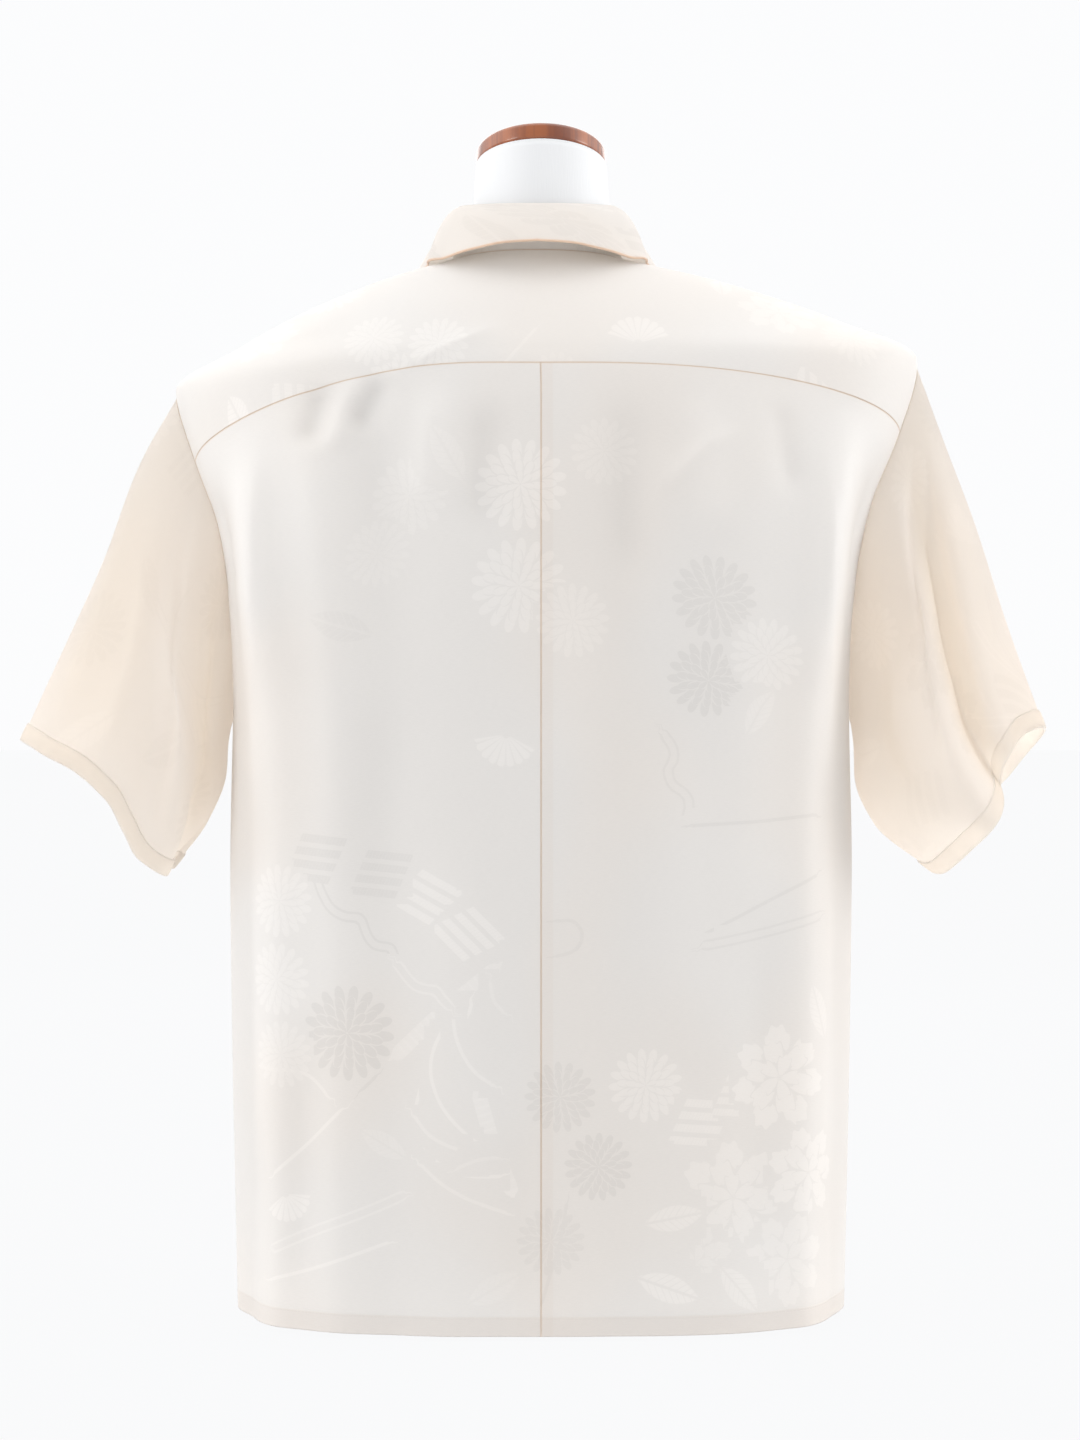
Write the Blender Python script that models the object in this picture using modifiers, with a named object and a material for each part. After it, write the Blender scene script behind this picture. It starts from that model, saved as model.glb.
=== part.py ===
"""A short-sleeved, open-collared silk shirt, worn by a limbless dress form with a turned wooden neck cap.

Metres, +Z up. The shirt's front faces -Y and the wearer's left is +X. The origin is the middle of the form's
flat foot, which is what the whole thing stands on.

The shirt's body is one closed surface, body_point(angle, ring). The angle runs from 0 at the centre back over
90 degrees at the side to 180 at the centre front. The ring runs from 0 at the neckline over the shoulders
and down to the hem. Every panel is a patch of that surface, so neighbours share their seam lines.
"""

import math

import bmesh
import bpy
import numpy as np
from mathutils import Vector

# ---------------------------------------------------------------- driving sizes
WALL = 0.0015                # cloth, with what the seams and folds add
SEAM_GAP = 0.0004            # between two panels that are sewn together
LAYER_GAP = 0.0004           # between a panel and what lies on it
SLEEVE_GAP = 0.0007          # between an armhole's edge and the sleeve's, on the outer side
SEAT_GAP = 0.0010            # between the form's shoulders and the cloth that they carry

SHOULDER_HALF = 0.2520       # centre line to the shoulder tip, along X
BODY_HALF_WIDTH = 0.205      # the hanging body, at the chest
BACK_DEPTH = 0.137           # the hanging back, behind the form's axis
FRONT_DEPTH = 0.130
HEM_HEIGHT = 0.003           # the shirt's hem above the surface that the form stands on
ARMPIT_HEIGHT = 0.400
OVERLAP_HALF = 0.017         # how far each front edge passes the centre front
NECK_SHIFT = 0.0025          # the neckline sits this far to the left
LEFT_DRAW = 0.009            # the left armhole is drawn in towards the neck by this
LEFT_DROOP = 0.021           # the left shoulder tip lies lower than the right one by this
NECK_SLANT = math.radians(14)  # the form's neck is cut sloping down to the front
BUTTON_COUNT = 5
BUTTON_TOP = 0.528           # the top button's height
BUTTON_SPACING = 0.096       # from one button down to the next
HOLE_RADIUS = 0.0008         # a sewing hole through a button
BUTTON_RADIUS = 0.0057
BUTTON_THICKNESS = 0.0022

# ---------------------------------------------------------------- tables
# The rings of the shirt's body, from the neckline to the hem. back_z, back_y: the centre back.
# side_x, side_z: over the shoulder, or the side seam. front_z, front_y: the centre front.
# back_n, front_n: how square the corner is.
RING_COLUMNS = ("back_z", "back_y", "side_x", "side_z", "front_z", "front_y", "back_n", "front_n")
RINGS = (
    (0.6950, 0.0600, 0.0580, 0.6990, 0.6500, 0.0620, 2.1, 2.1),   # 0 neckline
    (0.6830, 0.0800, 0.1120, 0.6880, 0.6290, 0.0820, 2.1, 2.1),   # 1
    (0.6640, 0.0990, 0.1580, 0.6745, 0.6080, 0.0990, 2.2, 2.2),   # 2
    (0.6440, 0.1130, 0.2060, 0.6560, 0.5870, 0.1120, 2.5, 2.5),   # 3
    (0.6300, 0.1210, SHOULDER_HALF, 0.6310, 0.5650, 0.1200, 2.9, 2.9),   # 4 shoulder tip
    (0.6190, 0.1255, 0.2390, 0.5800, 0.5400, 0.1250, 3.4, 3.2),   # 5 yoke seam
    (0.5850, 0.1320, 0.2190, 0.5340, 0.5100, 0.1285, 4.2, 3.8),   # 6
    (0.5300, 0.1360, 0.2070, 0.4850, 0.4700, FRONT_DEPTH, 4.6, 3.8),   # 7
    (0.4600, BACK_DEPTH, 0.2035, 0.4370, 0.4280, FRONT_DEPTH, 4.0, 3.4),   # 8
    (ARMPIT_HEIGHT, BACK_DEPTH, 0.2040, ARMPIT_HEIGHT, ARMPIT_HEIGHT, 0.1290, 3.4, 3.0),   # 9 armpit
    (0.3000, BACK_DEPTH, BODY_HALF_WIDTH + 0.002, 0.3000, 0.3000, 0.1275, 3.0, 2.8),   # 10
    (0.2000, BACK_DEPTH, BODY_HALF_WIDTH + 0.001, 0.2000, 0.2000, 0.1265, 3.0, 2.8),   # 11
    (0.1000, BACK_DEPTH + 0.001, BODY_HALF_WIDTH - 0.001, 0.1010, 0.1000, 0.1265, 3.1, 2.9),   # 12
    (HEM_HEIGHT, BACK_DEPTH + 0.002, BODY_HALF_WIDTH - 0.0035, HEM_HEIGHT + 0.002,
     HEM_HEIGHT, 0.1270, 3.3, 3.0),   # 13 hem
)
NECK_RING, TIP_RING, YOKE_RING, PIT_RING, HEM_RING = 0.0, 4.0, 5.0, 9.0, 13.0
SAG_POWER = 2.6              # how late along a ring its height leaves the centre back's

# The armhole, from the shoulder tip (reach 0) to the armpit (reach 1): the ring, and the degrees that it lies
# behind or before the side line.
ARMHOLE_COLUMNS = ("reach", "ring", "back_degrees", "front_degrees")
ARMHOLE = (
    (0.00, TIP_RING, 0.0, 0.0),
    (0.12, 4.12, 8.0, 8.0),
    (0.26, 4.55, 17.0, 17.0),
    (0.40, 5.20, 23.5, 24.0),
    (0.55, 6.15, 25.0, 27.0),
    (0.70, 7.20, 21.0, 24.0),
    (0.85, 8.25, 13.5, 16.0),
    (0.95, 8.85, 6.0, 7.5),
    (1.00, PIT_RING, 0.0, 0.0),
)
YOKE_END_REACH = 0.36        # where the yoke's back seam meets the armhole
FRONT_SEAM_REACH = -0.15     # where the yoke's front seam meets it, before the shoulder tip
YOKE_SEAM_BOW = 0.14         # how far that seam bows up on its way there, as rings
SEAM_HALF_RING = 0.012       # half the gap along the yoke's seams, as rings
# The degrees of a back's columns, but for the outer ones.
BACK_COLUMNS = (0, 6, 12, 17, 22, 27, 32, 36.5, 40.5, 44, 47, 50)
ARMHOLE_BACK = np.array((YOKE_END_REACH, 0.40, 0.44, 0.48, 0.525, 0.58, 0.645, 0.72, 0.80, 0.90, 1))
ARMHOLE_YOKE = np.linspace(YOKE_END_REACH, FRONT_SEAM_REACH, 8)
ARMHOLE_FRONT = np.linspace(FRONT_SEAM_REACH, -1, 13)
BELOW_PIT = np.linspace(PIT_RING, HEM_RING, 8)[1:]

# The front's inner edge, from the yoke's front seam along the neckline, down the lapel's roll and the
# lapped edge. share: how far down from the seam to the armpit's ring. x: from the centre front, towards
# the front's own side.
FRONT_EDGE_COLUMNS = ("share", "x", "ring")
FRONT_EDGE = (
    (0.00, 0.0535, 0.0),
    (0.10, 0.0500, 0.0),
    (0.20, 0.0455, 0.1),
    (0.36, 0.0286, 1.4),
    (0.48, 0.0143, 2.5),
    (0.60, -0.0014, 3.7),
    (0.72, -OVERLAP_HALF, 4.9),
    (0.80, -OVERLAP_HALF, 5.9),
    (1.00, -OVERLAP_HALF, PIT_RING),
)
# A lapel's corners, as x and ring: where its roll leaves the neckline, where it ends above the top
# button, and its point.
LAPEL_TOP = (0.0455, 0.16)
LAPEL_FOOT = {"left": (-0.0160, 4.85), "right": (0.0025, 3.50)}
LAPEL_POINT = (0.0980, 2.05)
# The shares of a front's columns, from the side inwards.
FRONT_COLUMNS = np.array((0, 0.05, 0.11, 0.18, 0.28, 0.40, 0.54, 0.68, 0.82, 0.92, 1))

# The collar round the neckline, half of it. stand: its roll above the neckline. lean: how far the roll
# leans in. edge_degrees, edge_ring, edge_lift: where its falling edge hangs, over the body's surface.
COLLAR_COLUMNS = ("degrees", "stand", "lean", "edge_degrees", "edge_ring", "edge_lift")
COLLAR = (
    (0.0, 0.0325, 0.004, 0.0, 0.80, 0.0205),
    (25.0, 0.0325, 0.004, 23.0, 0.78, 0.0170),
    (48.0, 0.0325, 0.005, 45.0, 0.52, 0.0085),
    (70.0, 0.0325, 0.004, 69.0, 0.30, 0.0035),
    (90.0, 0.0310, 0.0045, 91.0, 0.28, 0.0025),
    (108.0, 0.0205, 0.004, 113.0, 0.72, 0.0025),
    (127.0, 0.0100, 0.002, 133.5, 1.72, 0.0036),
)
COLLAR_ROLL = 0.0036         # the roll's radius

# Folds of the body, in degrees round the ring, and rings down it: a ridge is positive, a trough negative.
FOLD_COLUMNS = ("side", "degrees", "width_degrees", "height", "top_ring", "full_ring", "end_ring")
BODY_FOLDS = (
    (1, 47.0, 4.0, 0.0060, 5.0, 6.2, 9.2),
    (-1, 47.0, 4.0, 0.0060, 5.0, 6.2, 9.2),
    (1, 58.0, 4.5, -0.0050, 5.2, 6.4, 8.8),
    (-1, 58.0, 4.5, -0.0050, 5.2, 6.4, 8.8),
    (1, 16.0, 4.5, 0.0030, 5.0, 6.2, 9.5),
    (1, 26.0, 4.0, -0.0035, 5.0, 6.0, 9.0),
    (1, 35.0, 3.5, 0.0030, 5.0, 6.4, 10.5),
    (-1, 14.0, 5.0, -0.0025, 5.0, 7.0, 10.0),
    (-1, 33.0, 5.0, 0.0030, 5.0, 6.5, 11.0),
    (1, 62.0, 7.0, -0.0060, 9.2, 10.8, 13.8),
    (-1, 64.0, 7.0, -0.0050, 9.2, 10.8, 13.8),
    (1, 128.0, 6.0, 0.0060, 5.5, 8.5, 13.8),
    (-1, 126.0, 6.0, 0.0060, 5.5, 8.5, 13.8),
    (1, 145.0, 7.0, -0.0050, 6.5, 9.5, 13.8),
    (-1, 147.0, 7.0, -0.0050, 6.5, 9.5, 13.8),
)

# A sleeve's rings, from the armhole (run 0) to its hem (run 1). outer_x, outer_z: the overarm line.
# inner_x, inner_z: the underarm seam. depth: half the front-to-back size. square: the corner exponent.
SLEEVE_COLUMNS = ("run", "outer_x", "outer_z", "inner_x", "inner_z", "depth", "centre_y", "square")
SLEEVES = {
    "left": (
        (0.00, 0.2440, 0.6100, 0.2060, 0.4000, 0.0500, 0.004, 2.2),
        (0.18, 0.2680, 0.5650, 0.2105, 0.3830, 0.0660, 0.005, 2.3),
        (0.42, 0.2920, 0.5000, 0.2120, 0.3560, 0.0740, 0.006, 2.3),
        (0.70, 0.3180, 0.4430, 0.2240, 0.3240, 0.0720, 0.006, 2.2),
        (1.00, 0.3480, 0.3780, 0.2480, 0.2920, 0.0660, 0.006, 2.2),
    ),
    "right": (
        (0.00, 0.2520, 0.6290, 0.2060, 0.4000, 0.0500, 0.004, 2.2),
        (0.18, 0.2690, 0.5800, 0.2105, 0.3830, 0.0660, 0.006, 2.3),
        (0.42, 0.2910, 0.5200, 0.2110, 0.3540, 0.0770, 0.008, 2.3),
        (0.70, 0.3120, 0.4560, 0.2240, 0.3220, 0.0780, 0.008, 2.2),
        (1.00, 0.3380, 0.3850, 0.2640, 0.2900, 0.0730, 0.008, 2.2),
    ),
}
# Folds of a sleeve, in degrees round it from the overarm line to the back.
SLEEVE_FOLD_COLUMNS = ("degrees_at_top", "degrees_at_hem", "width_degrees",
                       "height_at_top", "height_mid", "height_at_hem")
SLEEVE_FOLDS = {
    "left": (
        (46.0, 60.0, 22.0, 0.000, -0.005, -0.004),
        (82.0, 150.0, 15.0, 0.003, 0.011, 0.009),
        (120.0, 176.0, 13.0, 0.000, -0.012, -0.004),
        (-72.0, -66.0, 16.0, 0.000, -0.011, -0.010),
        (-106.0, -104.0, 11.0, 0.002, 0.008, 0.007),
    ),
    "right": (
        (66.0, 80.0, 12.0, 0.000, -0.018, -0.020),
        (84.0, 106.0, 12.0, 0.002, 0.008, 0.009),
        (132.0, 140.0, 18.0, 0.000, -0.007, -0.002),
        (-66.0, -60.0, 16.0, 0.000, -0.012, -0.012),
        (-104.0, -100.0, 12.0, 0.002, 0.008, 0.007),
    ),
}
# How far a sleeve's hem is drawn up, round the sleeve.
HEM_RISE_COLUMNS = ("degrees", "rise")
HEM_RISE = {
    "left": ((-180, 0), (-90, 0.002), (0, 0), (43, 0.006), (80, 0.014), (96, 0.013), (116, 0.004),
             (134, -0.004), (152, -0.003), (180, 0)),
    "right": ((-180, 0), (-120, -0.003), (-73, -0.0065), (-40, -0.006), (0, 0), (30, 0.010), (52, 0.017),
              (66, 0.015), (78, 0.007), (90, 0.000), (104, -0.003), (126, -0.003), (154, -0.003), (180, 0)),
}

# The dress form's rings, from its neck to its foot, like the shirt's. Between the neck and the foot it
# carries the shirt's shoulders, on the rings named in FORM_SEAT_RINGS.
NECK_TOP = 0.7642            # the neck's cut, on the form's axis
FORM_NECK = (
    (NECK_TOP, 0.0450, 0.0437, NECK_TOP, NECK_TOP, 0.0520, 2.0, 2.0),
    (0.7500, 0.0470, 0.0452, 0.7440, 0.7330, 0.0530, 2.0, 2.0),
    (0.7250, 0.0485, 0.0462, 0.7210, 0.7050, 0.0535, 2.0, 2.0),
    (0.7050, 0.0500, 0.0468, 0.7050, 0.6760, 0.0535, 2.0, 2.0),
    (0.6880, 0.0525, 0.0495, 0.6925, 0.6440, 0.0550, 2.0, 2.0),
)
FRONT_AIR = 0.004            # more room under the fronts than under the yoke, which carries the shirt
FORM_SEAT_RINGS = (0.45, 0.95, 1.50, 2.10, 2.60)
FORM_BODY = (
    (0.6260, 0.1100, 0.1820, 0.6450, 0.5720, 0.1010, 2.4, 2.2),
    (0.5950, 0.1140, 0.1820, 0.6230, 0.5450, 0.1060, 2.4, 2.2),
    (0.5500, 0.1170, 0.1800, 0.5850, 0.5150, 0.1150, 2.5, 2.5),
    (0.4800, 0.1130, 0.1730, 0.5100, 0.4500, 0.1160, 2.4, 2.4),
    (0.3900, 0.1030, 0.1620, 0.4100, 0.3700, 0.1080, 2.3, 2.3),
    (0.2900, 0.0950, 0.1480, 0.2950, 0.2800, 0.0960, 2.3, 2.3),
    (0.2000, 0.1020, 0.1560, 0.2000, 0.1950, 0.0970, 2.3, 2.3),
    (0.1100, 0.1130, 0.1690, 0.1100, 0.1080, 0.1010, 2.4, 2.4),
    (0.0300, 0.1140, 0.1720, 0.0300, 0.0300, 0.1020, 2.4, 2.4),
    (0.0040, 0.1130, 0.1710, 0.0040, 0.0040, 0.1010, 2.4, 2.4),
    (0.0000, 0.1090, 0.1670, 0.0000, 0.0000, 0.0970, 2.4, 2.4),
)
CAP_THICKNESS = 0.0120
CAP_HALF_WIDTH = 0.0437
CAP_HALF_DEPTH = 0.0500
CAP_EDGE = 0.0035
CAP_FOOT_EDGE = 0.0021


# ---------------------------------------------------------------- reading the tables
def column(table, names, name):
    return np.array([row[names.index(name)] for row in table], float)


def smooth_through(stations, values, at):
    """A curve through (stations, values) that doesn't swing past them, read at each of at."""
    stations, values, at = (np.asarray(v, float) for v in (stations, values, at))
    steps = np.diff(stations)
    slopes = np.diff(values) / steps
    tangents = np.zeros_like(values)
    before, after = slopes[:-1], slopes[1:]
    same_way = before * after > 0
    total = steps[:-1] + steps[1:]
    weight_before = (total + steps[1:]) / (3 * total)
    weight_after = (total + steps[:-1]) / (3 * total)
    with np.errstate(divide="ignore", invalid="ignore"):
        inner = 1 / (weight_before / before + weight_after / after)
    tangents[1:-1] = np.where(same_way, inner, 0.0)
    tangents[0], tangents[-1] = slopes[0], slopes[-1]
    i = np.clip(np.searchsorted(stations, at, side="right") - 1, 0, len(steps) - 1)
    h = steps[i]
    f = np.clip((at - stations[i]) / h, 0, 1)
    return (
        (2 * f**3 - 3 * f**2 + 1) * values[i]
        + (f**3 - 2 * f**2 + f) * h * tangents[i]
        + (3 * f**2 - 2 * f**3) * values[i + 1]
        + (f**3 - f**2) * h * tangents[i + 1]
    )


def ease(low, high, at):
    """0 below low, 1 above high, and smooth between."""
    f = np.clip((np.asarray(at, float) - low) / (high - low), 0, 1)
    return f * f * (3 - 2 * f)


def blend(a, b, share):
    return a + (b - a) * share


# ---------------------------------------------------------------- the shirt's body surface
def ring_value(name, ring):
    return smooth_through(range(len(RINGS)), column(RINGS, RING_COLUMNS, name), ring)


def fold_height(side, degrees, ring):
    """How far the body's folds lift the cloth here."""
    height = np.zeros(np.broadcast(degrees, ring).shape)
    for fold_side, middle, width, lift, top, full, end in BODY_FOLDS:
        if fold_side == side:
            across = np.exp(-(((degrees - middle) / width) ** 2))
            height = height + lift * across * ease(top, full, ring) * (1 - ease(full, end, ring) * 0.6)
    return height


def settle(points):
    """The shirt sits a little askew: its neck is off the middle, and its left shoulder hangs lower."""
    x, z = points[..., 0], points[..., 2]
    moved = points.copy()
    drawn = LEFT_DRAW * ease(0.15, 0.25, x) * ease(0.44, 0.58, z)
    moved[..., 0] = x + NECK_SHIFT * ease(0.60, 0.68, z) - drawn
    moved[..., 2] = z - LEFT_DROOP * ease(0.04, 0.27, x) * ease(0.36, 0.60, z)
    return moved


def section_point(degrees, section):
    """A point of one ring, or of many, on the +X side. section maps a column's name to its value or values."""
    angle = np.radians(degrees)
    at_back = degrees <= 90
    square = np.where(at_back, section("back_n"), section("front_n"))
    sine, cosine = np.abs(np.sin(angle)), np.abs(np.cos(angle))
    radius = (sine**square + cosine**square) ** (-1 / square)
    across, along = np.sin(angle) * radius, cosine * radius
    depth = np.where(at_back, section("back_y"), -section("front_y"))
    centre_z = np.where(at_back, section("back_z"), section("front_z"))
    side_z = section("side_z")
    height = side_z + (centre_z - side_z) * (1 - np.abs(across) ** SAG_POWER)
    return np.stack([section("side_x") * across, depth * along, height], axis=-1)


def smooth_body(degrees, ring):
    """The body without folds, on the +X side."""
    degrees, ring = np.broadcast_arrays(np.asarray(degrees, float), np.asarray(ring, float))
    return section_point(degrees, lambda name: ring_value(name, ring))


def normal_of(surface, degrees, ring):
    """The outward normal of a surface of (degrees, ring)."""
    small_turn, small_ring = 0.25, 0.01
    low = np.clip(ring - small_ring, 0, HEM_RING - 2 * small_ring)
    along = surface(degrees, low + 2 * small_ring) - surface(degrees, low)
    around = surface(degrees + small_turn, ring) - surface(degrees - small_turn, ring)
    normal = np.cross(around, along)
    return normal / np.linalg.norm(normal, axis=-1, keepdims=True)


def body_point(side, degrees, ring, lift=0.0):
    """A point of the shirt's outer face on the wearer's left (side 1) or right (-1), moved out by lift."""
    degrees, ring = np.broadcast_arrays(np.asarray(degrees, float), np.asarray(ring, float))
    raised = np.asarray(fold_height(side, degrees, ring) + lift)[..., None]
    points = smooth_body(degrees, ring) + normal_of(smooth_body, degrees, ring) * raised
    points[..., 0] *= side
    return settle(points)


def armhole_at(reach):
    """(degrees, ring) of the armhole. reach: 0 at the shoulder tip, 1 at the armpit round the back, -1 round
    the front."""
    reach = np.asarray(reach, float)
    stations = column(ARMHOLE, ARMHOLE_COLUMNS, "reach")
    ring = smooth_through(stations, column(ARMHOLE, ARMHOLE_COLUMNS, "ring"), np.abs(reach))
    behind = smooth_through(stations, column(ARMHOLE, ARMHOLE_COLUMNS, "back_degrees"), np.abs(reach))
    before = smooth_through(stations, column(ARMHOLE, ARMHOLE_COLUMNS, "front_degrees"), np.abs(reach))
    return np.where(reach > 0, 90 - behind, 90 + before), ring


# ---------------------------------------------------------------- making solids
def clear_scene():
    for obj in list(bpy.data.objects):
        bpy.data.objects.remove(obj)
    for name in ("shirt", "dress_form", "cutters"):
        group = bpy.data.collections.new(name)
        bpy.context.scene.collection.children.link(group)


def material(name, colour, roughness, metallic=0.0):
    made = bpy.data.materials.get(name)
    if made is None:
        made = bpy.data.materials.new(name)
        made.use_nodes = True
        shader = made.node_tree.nodes["Principled BSDF"]
        shader.inputs["Base Color"].default_value = (*colour, 1.0)
        shader.inputs["Roughness"].default_value = roughness
        shader.inputs["Metallic"].default_value = metallic
        made.diffuse_color = (*colour, 1.0)
    return made


def silk():
    return material("silk", (0.86, 0.83, 0.78), 0.45)


def put(name, mesh, finish, collection="shirt"):
    obj = bpy.data.objects.new(name, mesh)
    mesh.materials.append(finish)
    bpy.data.collections[collection].objects.link(obj)
    mesh.shade_smooth()
    return obj


def sheet_mesh(name, points, wraps=False):
    """An open sheet through a grid of points. wraps joins its last column to its first."""
    rows, columns = points.shape[:2]
    sheet = bmesh.new()
    corners = [[sheet.verts.new(points[r, c]) for c in range(columns)] for r in range(rows)]
    for r in range(rows - 1):
        for c in range(columns if wraps else columns - 1):
            after = (c + 1) % columns
            sheet.faces.new((corners[r][c], corners[r][after], corners[r + 1][after], corners[r + 1][c]))
    mesh = bpy.data.meshes.new(name)
    sheet.to_mesh(mesh)
    sheet.free()
    return mesh


def cloth(name, points, wraps=False, thickness=WALL, flipped=False):
    """A wall of cloth whose outer face runs through the points."""
    if flipped:
        points = points[:, ::-1]
    obj = put(name, sheet_mesh(name, points, wraps), silk())
    wall = obj.modifiers.new("wall", "SOLIDIFY")
    wall.thickness = thickness
    wall.offset = -1
    wall.use_even_offset = False
    return obj


# ---------------------------------------------------------------- panels of the body
def inset(share, size):
    """Shares 0 to 1 along an edge of that size, drawn in by half the seam gap at both ends."""
    margin = SEAM_GAP / 2 / size
    return margin + share * (1 - 2 * margin)


def back_columns(outer_degrees):
    """A back's columns, out to outer_degrees: the inner ones keep their places, and four more fill the rest."""
    last = BACK_COLUMNS[-1]
    rest = blend(last, np.asarray(outer_degrees, float)[..., None], np.linspace(0.25, 1, 4))
    inner = np.broadcast_to(BACK_COLUMNS, rest.shape[:-1] + (len(BACK_COLUMNS),))
    return np.concatenate([inner, rest], axis=-1)


def yoke_seam():
    """(degrees, ring) of the yoke's back seam, from the centre back to the armhole."""
    end_degrees, end_ring = armhole_at(YOKE_END_REACH)
    degrees = back_columns(end_degrees)
    share = degrees / end_degrees
    return degrees, blend(YOKE_RING, end_ring, share**2) - YOKE_SEAM_BOW * np.sin(np.pi * share**1.5)


def back_panel(name, side):
    arm_degrees, arm_ring = armhole_at(ARMHOLE_BACK)
    outer_degrees = np.concatenate([arm_degrees, np.full(len(BELOW_PIT), 90.0)])
    outer_ring = np.concatenate([arm_ring, BELOW_PIT])
    seam_ring = yoke_seam()[1] + SEAM_HALF_RING
    level = ease(0, 5, np.arange(len(outer_ring)))[:, None]
    ring = blend(seam_ring + (outer_ring - outer_ring[0])[:, None], outer_ring[:, None], level)
    degrees = back_columns(outer_degrees)
    degrees = degrees[:, -1:] * inset(degrees / degrees[:, -1:], 0.27)
    return cloth(name, body_point(side, degrees, ring), flipped=side < 0)


def yoke():
    arm_degrees, arm_ring = armhole_at(ARMHOLE_YOKE[1:])
    seam_degrees, seam_ring = yoke_seam()
    outer_degrees = np.concatenate([seam_degrees, arm_degrees])
    outer_ring = np.concatenate([seam_ring - SEAM_HALF_RING, arm_ring])
    neck_end = front_degrees(FRONT_EDGE[0][1], NECK_RING)
    neck_degrees = neck_end * (outer_degrees / outer_degrees[-1])
    out = 1 - FRONT_COLUMNS[::-1, None]
    degrees = blend(neck_degrees, outer_degrees, out)
    ring = blend(SEAM_HALF_RING, outer_ring, out)
    left = body_point(1, degrees, ring)
    right = body_point(-1, degrees, ring)
    return cloth("back_yoke", np.concatenate([right[:, :0:-1], left], axis=1))


def front_degrees(x, ring):
    """The degrees round the front of a ring at which it is x from the centre front."""
    square = ring_value("front_n", ring)
    across = np.abs(x) / ring_value("side_x", ring)
    turn = np.degrees(np.arctan((across**square / (1 - across**square)) ** (1 / square)))
    return 180 - np.sign(x) * turn


def front_edge(share):
    """(degrees, ring) of the front's inner edge."""
    stations = column(FRONT_EDGE, FRONT_EDGE_COLUMNS, "share")
    x = smooth_through(stations, column(FRONT_EDGE, FRONT_EDGE_COLUMNS, "x"), share)
    ring = smooth_through(stations, column(FRONT_EDGE, FRONT_EDGE_COLUMNS, "ring"), share)
    return front_degrees(x, ring), ring


def lap_lift(side, degrees):
    """The left front laps over the right one."""
    return (WALL + 2 * LAYER_GAP) * ease(167, 176, degrees) if side > 0 else 0.0


def front_panel(name, side):
    arm_degrees, arm_ring = armhole_at(ARMHOLE_FRONT)
    outer_degrees = np.concatenate([arm_degrees, np.full(len(BELOW_PIT), 90.0)])
    outer_ring = np.concatenate([arm_ring, BELOW_PIT])
    inner_degrees, inner_ring = front_edge(np.linspace(0, 1, len(arm_ring)))
    inner_degrees = np.concatenate([inner_degrees, front_degrees(-OVERLAP_HALF, BELOW_PIT)])
    inner_ring = np.concatenate([inner_ring, BELOW_PIT])
    degrees = blend(outer_degrees[:, None], inner_degrees[:, None], FRONT_COLUMNS)
    ring = blend(outer_ring[:, None], inner_ring[:, None], FRONT_COLUMNS)
    gap_degrees = np.degrees(1.5 * SEAM_GAP / ring_value("side_x", ring))
    degrees[0] += gap_degrees[0]
    degrees[:, 0] += gap_degrees[:, 0] / 2
    return cloth(name, body_point(side, degrees, ring, lap_lift(side, degrees)), flipped=side < 0)


def lapel(name, side):
    """The front's facing, turned out along its roll."""
    down = np.linspace(0.0, 0.96, 9)[:, None]
    out = np.linspace(0, 1, 6)
    foot = LAPEL_FOOT[name]
    belly = np.sin(np.pi * down)
    roll = [blend(top, end, down) for top, end in zip(LAPEL_TOP, foot)]
    edge = [blend(point, end, down) for point, end in zip(LAPEL_POINT, foot)]
    x = blend(roll[0], edge[0] + 0.004 * belly, out)
    ring = blend(roll[1], edge[1] + 0.15 * belly, out)
    degrees = front_degrees(x, ring)
    lift = WALL + LAYER_GAP + 0.002 * np.sin(np.pi * out) + lap_lift(side, degrees)
    return cloth("lapel_" + name, body_point(side, degrees, ring, lift)[:, ::-1], flipped=side < 0)


# ---------------------------------------------------------------- the collar
def collar_value(name, degrees):
    stations = column(COLLAR, COLLAR_COLUMNS, "degrees")
    return smooth_through(stations, column(COLLAR, COLLAR_COLUMNS, name), degrees)


def collar_half(side, degrees):
    """The collar's points, a row for each step from its seam up the stand, over the roll and down the fall."""
    seam = body_point(side, degrees, NECK_RING)
    half_width, half_depth = RINGS[0][2], RINGS[0][1]
    away = (seam[:, 0] / half_width**2, seam[:, 1] / half_depth**2, np.zeros(len(seam)))
    outward = np.stack(away, axis=-1)
    outward /= np.linalg.norm(outward, axis=-1, keepdims=True)
    up = np.array([0.0, 0.0, 1.0])
    stand, lean = collar_value("stand", degrees)[:, None], collar_value("lean", degrees)[:, None]
    foot = seam - outward * (WALL + 2 * SEAM_GAP) - up * 0.001
    top = seam - outward * (lean + COLLAR_ROLL) + up * stand
    edge_degrees = collar_value("edge_degrees", degrees)
    edge_lift = collar_value("edge_lift", degrees) + WALL
    edge = body_point(side, edge_degrees, collar_value("edge_ring", degrees), edge_lift)
    rows = [foot, blend(foot, top, 0.5), top]
    for turn in (45, 90, 135):
        angle = math.radians(turn)
        rows.append(top + outward * COLLAR_ROLL * (1 - math.cos(angle)) + up * COLLAR_ROLL * math.sin(angle))
    start = rows[-1]
    knee = start + (edge - start) * np.array([0.55, 0.55, 0.12])
    for share in (0.25, 0.50, 0.75, 1.0):
        rows.append((1 - share) ** 2 * start + 2 * share * (1 - share) * knee + share**2 * edge)
    return np.stack(rows)


def collar():
    degrees = np.linspace(0, COLLAR[-1][0], 16)
    left, right = collar_half(1, degrees), collar_half(-1, degrees)
    return cloth("collar", np.concatenate([right[:, :0:-1], left], axis=1))


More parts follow.
